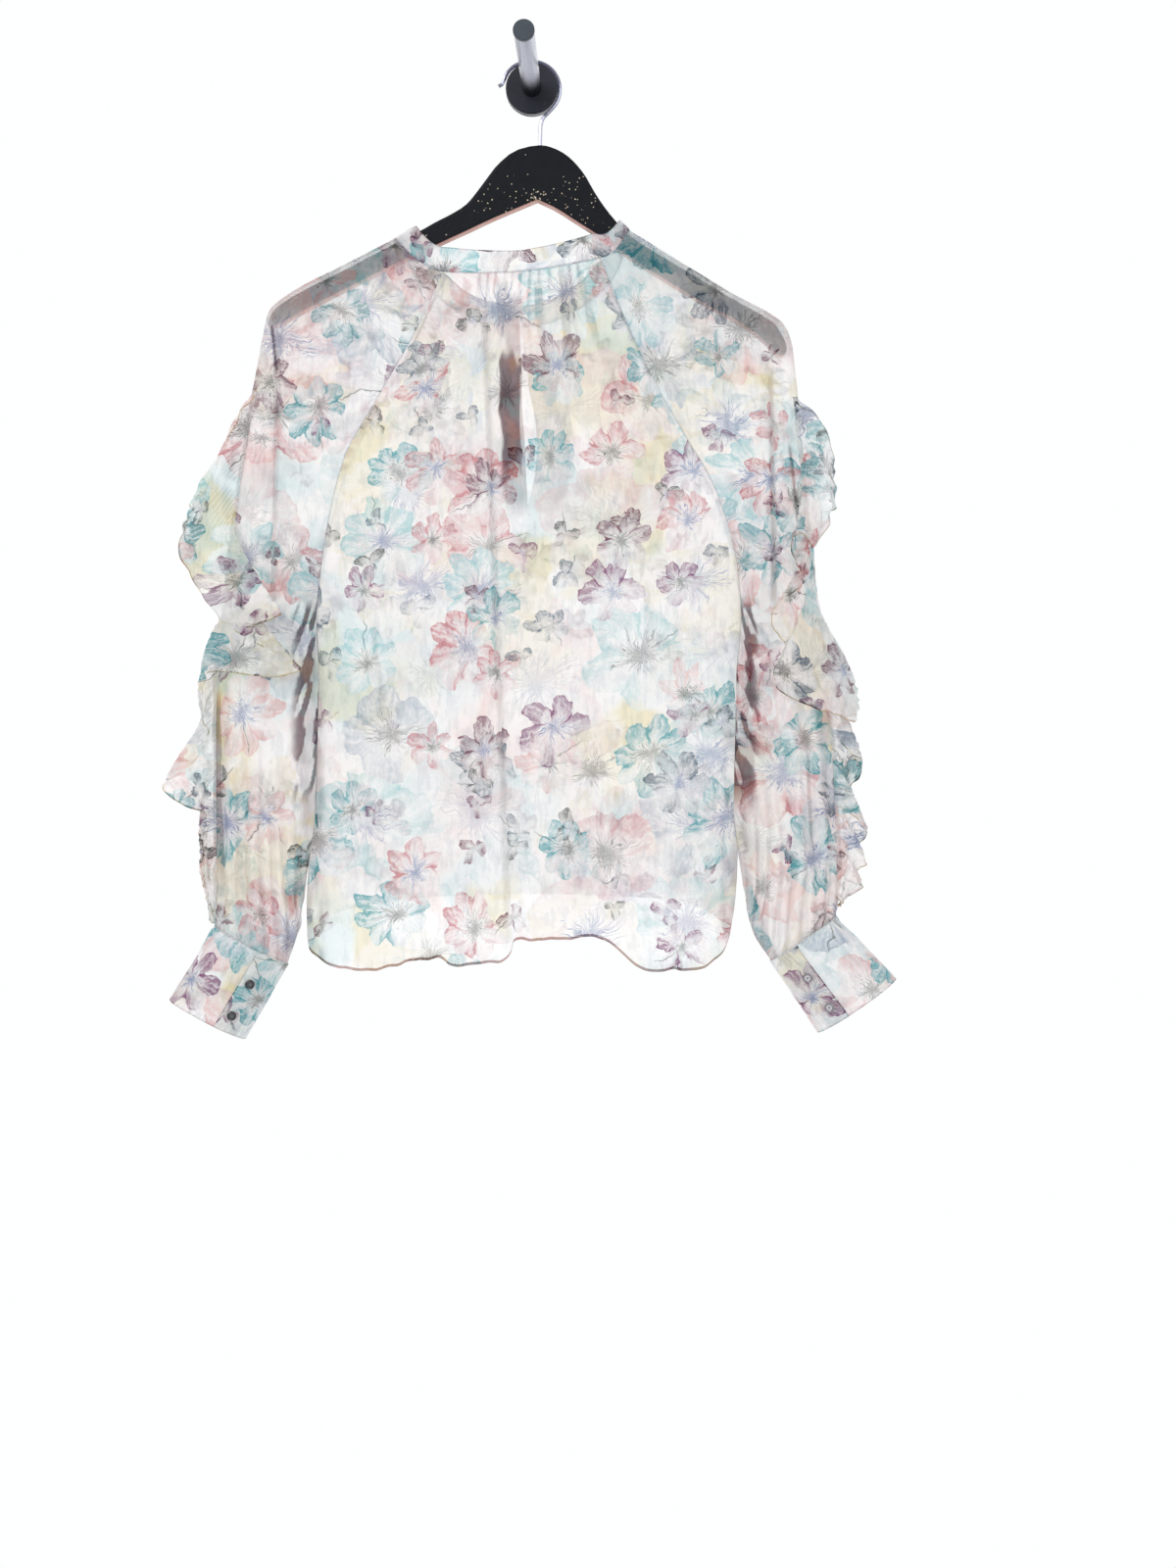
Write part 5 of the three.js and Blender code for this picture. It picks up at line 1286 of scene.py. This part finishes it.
def paint_print(recipe, where):
    """The flowered print, painted from its washes to its smallest flowers."""
    wobble = recipe.flat_noise(where, 18.0, 4.0, 0.65).output(1)
    wobble = recipe.vector("SUBTRACT", wobble, (0.5, 0.5, 0.5))
    where = recipe.vector("ADD", where, recipe.scaled(wobble, 0.026))
    clouds = recipe.parts(recipe.flat_noise(where, 8.5, 3.0, 0.55).output(1), "Color")
    paper = recipe.colours(clouds[0], [
        (0.38, INK["yellow"]), (0.45, INK["white"]), (0.58, INK["white"]), (0.68, INK["blush"]),
    ])
    paper = recipe.blend(recipe.ramp(clouds[1], 0.53, 0.66, 0.0, 0.4), paper, INK["aqua"])
    for kind in FLOWERS:
        paper = paint_flowers(recipe, paper, where, kind)
    return paper


def lay_double_and_shade(recipe, ink, where, doubled_and_shade):
    """Cloth that lies double is darker, and so are its folds, creases, gathers and hollows as
    painted shade, in tones that wander a little.
    """
    tone = recipe.colours(recipe.flat_noise(where, 42.0), [
        (0.34, INK["moss_shade"]), (0.44, INK["shade"]), (0.56, INK["shade"]), (0.64, INK["rust_shade"]),
    ])
    return recipe.stain(recipe.math("MULTIPLY", doubled_and_shade, 0.36, clamp=True), ink, tone)


def see_through(recipe, hide, cloth):
    """Cloth mixed with nothing. Each mix has its own clear shader: one that they share would
    make every ray work out the whole print."""
    clear = recipe.add("BsdfTransparent", {0: (1, 1, 1, 1)})
    return recipe.mix_shaders(hide, clear, cloth)


def seam_lines(recipe, seam, height):
    """The line of a seam and of its allowance's edge, plainer below the underarms."""
    line = recipe.math("MAXIMUM", recipe.ramp(seam, 1.4, 0.9, 0.0, 0.8),
                       recipe.ramp(seam, 5.6, 5.0, 0.0, 0.25))
    return line * recipe.ramp(height, -0.47, -0.4, 0.25)


def fine_creases(recipe, where):
    """The height of the cloth's finest creases, mostly upright ones."""
    creases = recipe.flat_noise(recipe.vector("MULTIPLY", where, (1.0, 0.22, 1.0)),
                                190.0, 3.0, 0.6)
    crossing = recipe.flat_noise(recipe.vector("MULTIPLY", where, (0.7, 1.0, 1.0)),
                                 70.0, 2.0, 0.6)
    return crossing * 0.7 + creases


def thin_cloth(recipe, colour, rough=0.0, others=()):
    """Cloth that light falls on and also goes through."""
    front = recipe.add("BsdfDiffuse", {"Color": colour, "Roughness": rough, **dict(others)})
    through = recipe.add("BsdfTranslucent", {"Color": colour, **dict(others)})
    return recipe.mix_shaders(THROUGH_SHARE, front, through)


def chiffon(name, cover, rich, plain, edge_ink, edge_width):
    """Printed chiffon. cover is how much a face hides, rich how strongly it is printed. Painted
    shade darkens its folds, creases and gathers, and its print more toward the top.
    """
    recipe = Recipe(name)
    where = recipe.add("UVMap", uv_map="UVMap")
    height = recipe.parts(recipe.place)[2]
    hem, seam, doubled_and_shade = (recipe.add("Attribute", attribute_name=kept).output("Fac")
                          for kept in ("from_hem", "from_seam", "doubled_and_shade"))
    turned = recipe.ramp(hem, edge_width, edge_width - 0.5)
    sewn = seam_lines(recipe, seam, height)
    surface = fine_creases(recipe, where)
    ink = paint_print(recipe, where)
    # Painted shade: the print is darkened more toward the top of the garment
    ink = recipe.stain(recipe.ramp(height, -0.3, -0.19, rich, min(1.0, rich + 0.42)), ink, ink)
    # Painted shade in folds, creases, gathers and hollows, together with the darker doubled cloth
    ink = lay_double_and_shade(recipe, ink, where, doubled_and_shade)
    ink = recipe.stain(turned * 0.9, ink, ink)
    ink = recipe.stain(turned * 0.7, ink, edge_ink)
    ink = recipe.stain(sewn * 0.4, ink, INK["grey_blue"])
    # Painted shade in the hollows of the finest creases
    ink = recipe.stain(recipe.ramp(surface, 0.7, 0.86, 0.2, 0.0), ink, INK["grey_blue"])
    hide = hidden_share(recipe, ink, cover, height, doubled_and_shade, sewn, turned)
    cloth = thin_cloth(recipe, ink, 0.6, {"Normal": recipe.bump(surface, 0.8, 0.0015)})
    inner_wall = recipe.add("NewGeometry").output("Backfacing")
    seen = see_through(recipe, 1 - inner_wall, see_through(recipe, hide, cloth))
    # The light's bounces meet plain cloth of one colour
    lit = see_through(recipe, min(MOST_HIDDEN, cover + 0.08), thin_cloth(recipe, plain))
    camera = recipe.add("LightPath").output("Is Camera Ray")
    return recipe.finish(recipe.mix_shaders(camera, lit, seen))


def hidden_share(recipe, ink, cover, height, doubled_and_shade, seam_line, turned):
    """How much a sheet hides: more where it is inked, laid double or darkened with painted shade,
    sewn or turned. Of its two faces only the one toward the eye is drawn, and the clear share is
    squared to hide as both would."""
    strength = recipe.add("RGBToBW", {0: ink})
    hide = recipe.ramp(strength, 0.85, 0.2, cover, min(MOST_HIDDEN, cover + 0.3))
    thin = 1.0 if cover > 0.5 else 0.6
    hide = hide * recipe.ramp(height, -0.27, -0.21, 1.0, thin) + doubled_and_shade * 0.28
    hide = recipe.math("MAXIMUM", hide, seam_line * 0.75)
    hide = recipe.math("MAXIMUM", hide, turned * 0.85)
    clear_share = 1 - recipe.math("MINIMUM", hide, MOST_HIDDEN)
    return 1 - clear_share * clear_share


def paint_chips(recipe, patches):
    """Where the paint is chipped off: spots low on the wood and round its inner corner."""
    where = recipe.place
    ragged = recipe.scaled(recipe.noise(where, 1000.0, 2.0, 0.6).output(1), 0.0015)
    chips = recipe.add("TexVoronoi", {"Vector": recipe.vector("ADD", where, ragged),
                                      "Scale": 600.0}, voronoi_dimensions="3D")
    chances = recipe.parts(chips.output("Color"), "Color")
    corner = recipe.vector("LENGTH", recipe.vector("SUBTRACT", where, HANGER_CORNER))
    near_corner = recipe.ramp(corner, 0.012, 0.003, 0.0, 0.9)
    low = recipe.ramp(recipe.parts(where)[2], -0.07, -0.12, 0.05, 0.17)
    share = low * recipe.ramp(patches, 0.4, 0.65, 0.2, 1.6) + near_corner
    specks = recipe.noise(where, 900.0, 2.0, 0.6)
    size = specks * 0.36 + chances[1] * 0.18 + near_corner * 0.14
    spots = recipe.ramp(size - chips.output("Distance"), 0.0, 0.04)
    return spots * recipe.math("LESS_THAN", chances[0], share)


def painted_wood():
    """Black paint on wood, with pale chips and pinkish faces that point down."""
    recipe = Recipe("chipped black paint")
    where = recipe.place
    patches = recipe.noise(where, 30.0, 3.0, 0.6)
    bare = paint_chips(recipe, patches)
    facing = recipe.parts(recipe.add("NewGeometry").output("Normal"))[2]
    # Faces that point down are made pinkish, more in some patches
    pink_downward_faces = recipe.ramp(facing, -0.35, -0.6) * recipe.ramp(patches, 0.3, 0.45, 0.4)
    grain = recipe.noise(recipe.vector("MULTIPLY", where, (1.0, 1.0, 8.0)), 60.0, 4.0, 0.6)
    wood = recipe.colours(grain, [(0.3, linear(176, 160, 134)), (0.7, linear(226, 214, 188))])
    worn = recipe.noise(where, 90.0, 3.0, 0.6)
    paint = recipe.colours(worn, [(0.3, linear(2, 4, 10)), (0.75, linear(9, 13, 23))])
    paint = recipe.blend(pink_downward_faces * 0.8, paint, linear(214, 168, 158))
    rough = recipe.ramp(recipe.math("MAXIMUM", bare, worn), 0.3, 0.9, 0.45, 0.8)
    bump = recipe.bump(worn - bare, 0.5, 0.0006)
    return recipe.finish_solid(recipe.blend(bare, paint, wood), rough,
                               {"Specular IOR Level": 0.2, "Normal": bump})


def metal(name, colour, rough, streak, flange_shade=1.0):
    """Bare metal with fine lines along the peg. Its last argument is how dark it is painted next to
    the flange, as painted shade where the rod meets it.
    """
    recipe = Recipe(name)
    lines = recipe.noise(recipe.vector("MULTIPLY", recipe.place, (1.0, streak, 1.0)), 700.0)
    tone = recipe.colours(lines, [(0.3, times(colour, 0.93)), (0.7, colour)])
    off = recipe.parts(recipe.place)[1]
    # Painted shade: darker toward the flange
    tone = recipe.scaled(tone, recipe.ramp(off, -0.06, -0.014, 1.0, flange_shade))
    shine = recipe.ramp(lines, 0.3, 0.7, rough * 0.9, rough * 1.15)
    return recipe.finish_solid(tone, shine, {"Metallic": 1.0})


def smooth_plastic(name, colour, rough):
    """Plain plastic with faint smears."""
    recipe = Recipe(name)
    smears = recipe.noise(recipe.place, 60.0, 3.0, 0.6)
    tone = recipe.colours(smears, [(0.3, colour), (0.8, times(colour, 1.3))])
    shine = recipe.ramp(smears, 0.3, 0.7, rough * 0.85, rough * 1.2)
    bump = recipe.bump(recipe.noise(recipe.place, 1400.0), 0.12, 0.0002)
    return recipe.finish_solid(tone, shine, {"Specular IOR Level": 0.3, "Normal": bump})


def button_look(name, piece, face, rim):
    """A small glossy button: a rounded rim round a paler or darker face, and its thread."""
    recipe = Recipe(name)
    corners = np.array([corner[:] for corner in piece.bound_box])
    middle = tuple(float(value) for value in corners.mean(axis=0))
    off = recipe.vector("LENGTH", recipe.vector("SUBTRACT", recipe.place, middle))
    clouds = recipe.noise(recipe.place, 500.0)
    tone = recipe.blend(recipe.ramp(off, 0.0022, 0.0028), face, rim)
    tone = recipe.blend(recipe.ramp(clouds, 0.35, 0.7, 0.0, 0.35), tone, rim)
    tone = recipe.blend(recipe.ramp(off, 0.0015, 0.0011, 0.0, 0.7), tone, INK["stem"])
    return recipe.finish_solid(tone, 0.16, {"Coat Weight": 0.4})


def plain_floor():
    recipe = Recipe("pale floor")
    tone = recipe.colours(recipe.noise(recipe.place, 3.0),
                          [(0.3, linear(240, 240, 241)), (0.7, linear(246, 246, 247))])
    return recipe.finish_solid(tone, 0.8)


# The scene round the object
def add_object(name, data, place, turned):
    made = bpy.data.objects.new(name, data)
    bpy.context.collection.objects.link(made)
    made.location = place
    made.rotation_euler = turned
    return made


def set_camera():
    data = bpy.data.cameras.new("camera")
    data.lens = CAMERA_LENS
    data.sensor_width = CAMERA_SENSOR
    data.sensor_fit = "AUTO"
    data.clip_end = 50
    level = (math.radians(90), 0, 0)
    bpy.context.scene.camera = add_object("camera", data, CAMERA_PLACE, level)


def soft_light(name, place, aim, size, power):
    data = bpy.data.lights.new(name, "AREA")
    data.shape = "RECTANGLE"
    data.size, data.size_y = size
    data.energy = power
    x, y, z = (a - p for a, p in zip(aim, place))
    turned = (math.atan2(math.hypot(x, y), -z), 0, math.atan2(-x, y))
    add_object(name, data, place, turned).visible_camera = False


def light_the_room():
    world = bpy.data.worlds.new("white studio")
    bpy.context.scene.world = world
    world.use_nodes = True
    nodes, links = world.node_tree.nodes, world.node_tree.links
    background = nodes["Background"]
    path = nodes.new("ShaderNodeLightPath")
    strength = nodes.new("ShaderNodeMapRange")
    strength.inputs[3].default_value = ROOM_STRENGTH
    strength.inputs[4].default_value = 1.0
    links.new(path.outputs["Is Camera Ray"], strength.inputs[0])
    links.new(strength.outputs[0], background.inputs["Strength"])
    background.inputs["Color"].default_value = (0.99, 0.995, 1.0, 1.0)
    for light in LIGHTS:
        soft_light(*light)


def lay_floor():
    select_only()
    bpy.ops.mesh.primitive_plane_add(size=FLOOR_SIZE,
                                     location=(0, -FLOOR_SIZE / 2, FLOOR_HEIGHT))
    floor = bpy.context.object
    floor.name = "floor"
    floor.data.materials.append(plain_floor())


def set_looks():
    scene = bpy.context.scene
    scene.view_settings.view_transform = "Standard"
    scene.view_settings.look = "None"
    scene.cycles.transparent_max_bounces = 40


# The pieces
def back_piece(sheer):
    points = back_points()
    back = make_sheet("back_cloth", points, cloth_map(points), "back", ("bottom",),
                      ("left", "right", "top"), True, back_doubled_and_shade(points))
    dress(back, SHELL, sheer, "back_panel")


def front_piece(sheer):
    halves = []
    for which, side in enumerate(("left", "right")):
        points = front_half_points(which)
        doubled_and_shade = front_doubled_and_shade(points, which)
        if side == "right":
            points, doubled_and_shade = points[:, ::-1], doubled_and_shade[:, ::-1]
        halves.append(make_sheet("front_" + side, points, front_map(points), "front", (),
                                 (side, "top", "bottom"), False, doubled_and_shade))
    front = merge_middle(halves[0], halves[1], "front_cloth")
    dress(front, SHELL, sheer, "front_panel")


def sleeve_piece(side, lines, sheer):
    points, doubled_and_shade = sleeve_points(lines)
    sleeve = make_sheet("sleeve_cloth_" + side, points, sleeve_map(points), "sleeve_" + side,
                        (), ("left", "right", "top", "bottom"), side == "right", doubled_and_shade)
    dress(sleeve, SHELL, sheer, "sleeve_" + side)


def ruffle_piece(side, lines, rows, sheer):
    points, doubled_and_shade = ruffle_points(lines, rows)
    ruffle = make_sheet("ruffle_cloth_" + side, points, hanging_map(points), "ruffle_" + side,
                        ("bottom", "left", "right"), ("top",), side == "left", doubled_and_shade)
    dress(ruffle, SHELL, sheer, "ruffle_" + side)
    "sleeve_cloth_" + side


def cuff_piece(side, lines, cloth):
    points = cuff_points(lines)
    cuff = make_sheet("cuff_cloth_" + side, points, strip_map(points), "cuff_" + side,
                      ("bottom", "left", "right"), ("top",), side == "left")
    dress(cuff, DOUBLED_SHELL, cloth, "cuff_" + side)
    "sleeve_cloth_" + side


def band_piece(cloth):
    points = band_points()
    band = make_sheet("neck_band_cloth", points, strip_map(points), "band", ("top",),
                      ("bottom",), True)
    dress(band, DOUBLED_SHELL, cloth, "neck_band")


def cloth_pieces():
    pale, edge = linear(236, 232, 230), linear(225, 222, 224)
    sleeves = chiffon("sleeve chiffon", 0.4, 0.22, pale, edge, 1.0)
    sheer = chiffon("printed chiffon", 0.4, 0.0, pale, linear(182, 138, 132), 2.6)
    ruffled = chiffon("ruffle chiffon", 0.36, 0.48, linear(236, 234, 230),
                      linear(212, 198, 146), 1.3)
    doubled_and_shade = chiffon("doubled chiffon", 0.6, 0.1, linear(232, 230, 230), edge, 1.0)
    back_piece(sheer)
    front_piece(sheer)
    for side, lines, rows in (("left", LEFT_LINES, LEFT_RUFFLE),
                              ("right", RIGHT_LINES, RIGHT_RUFFLE)):
        sleeve_piece(side, lines, sleeves)
        ruffle_piece(side, lines, rows, ruffled)
        cuff_piece(side, lines, doubled_and_shade)
    band_piece(doubled_and_shade)


def finish_holder(frame):
    looks = {
        "hanger_body": painted_wood(),
        "hanger_hook": metal("bright wire", linear(150, 152, 168), 0.2, 0.2),
        "peg_rod": metal("satin steel", linear(122, 125, 138), 0.3, 0.04, 0.25),
        "peg_cap": smooth_plastic("grey end cap", linear(58, 64, 72), 0.45),
        "peg_flange": smooth_plastic("black flange", linear(30, 33, 42), 0.4),
    }
    for side, face, rim in (("left", linear(52, 54, 60), linear(26, 28, 34)),
                            ("right", linear(196, 194, 198), linear(120, 118, 124))):
        for number in ("1", "2"):
            node = "button_" + side + "_" + number
            looks[node] = button_look(node, frame["nodes"][node], face, rim)
    for node, material in looks.items():
        for slot in frame["nodes"][node].material_slots:
            slot.material = material


def plain(box):
    return [[float(value) for value in corner] for corner in box]


def build():
    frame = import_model()
    set_camera()
    light_the_room()
    lay_floor()
    set_looks()
    cloth_pieces()
    finish_holder(frame)


build()
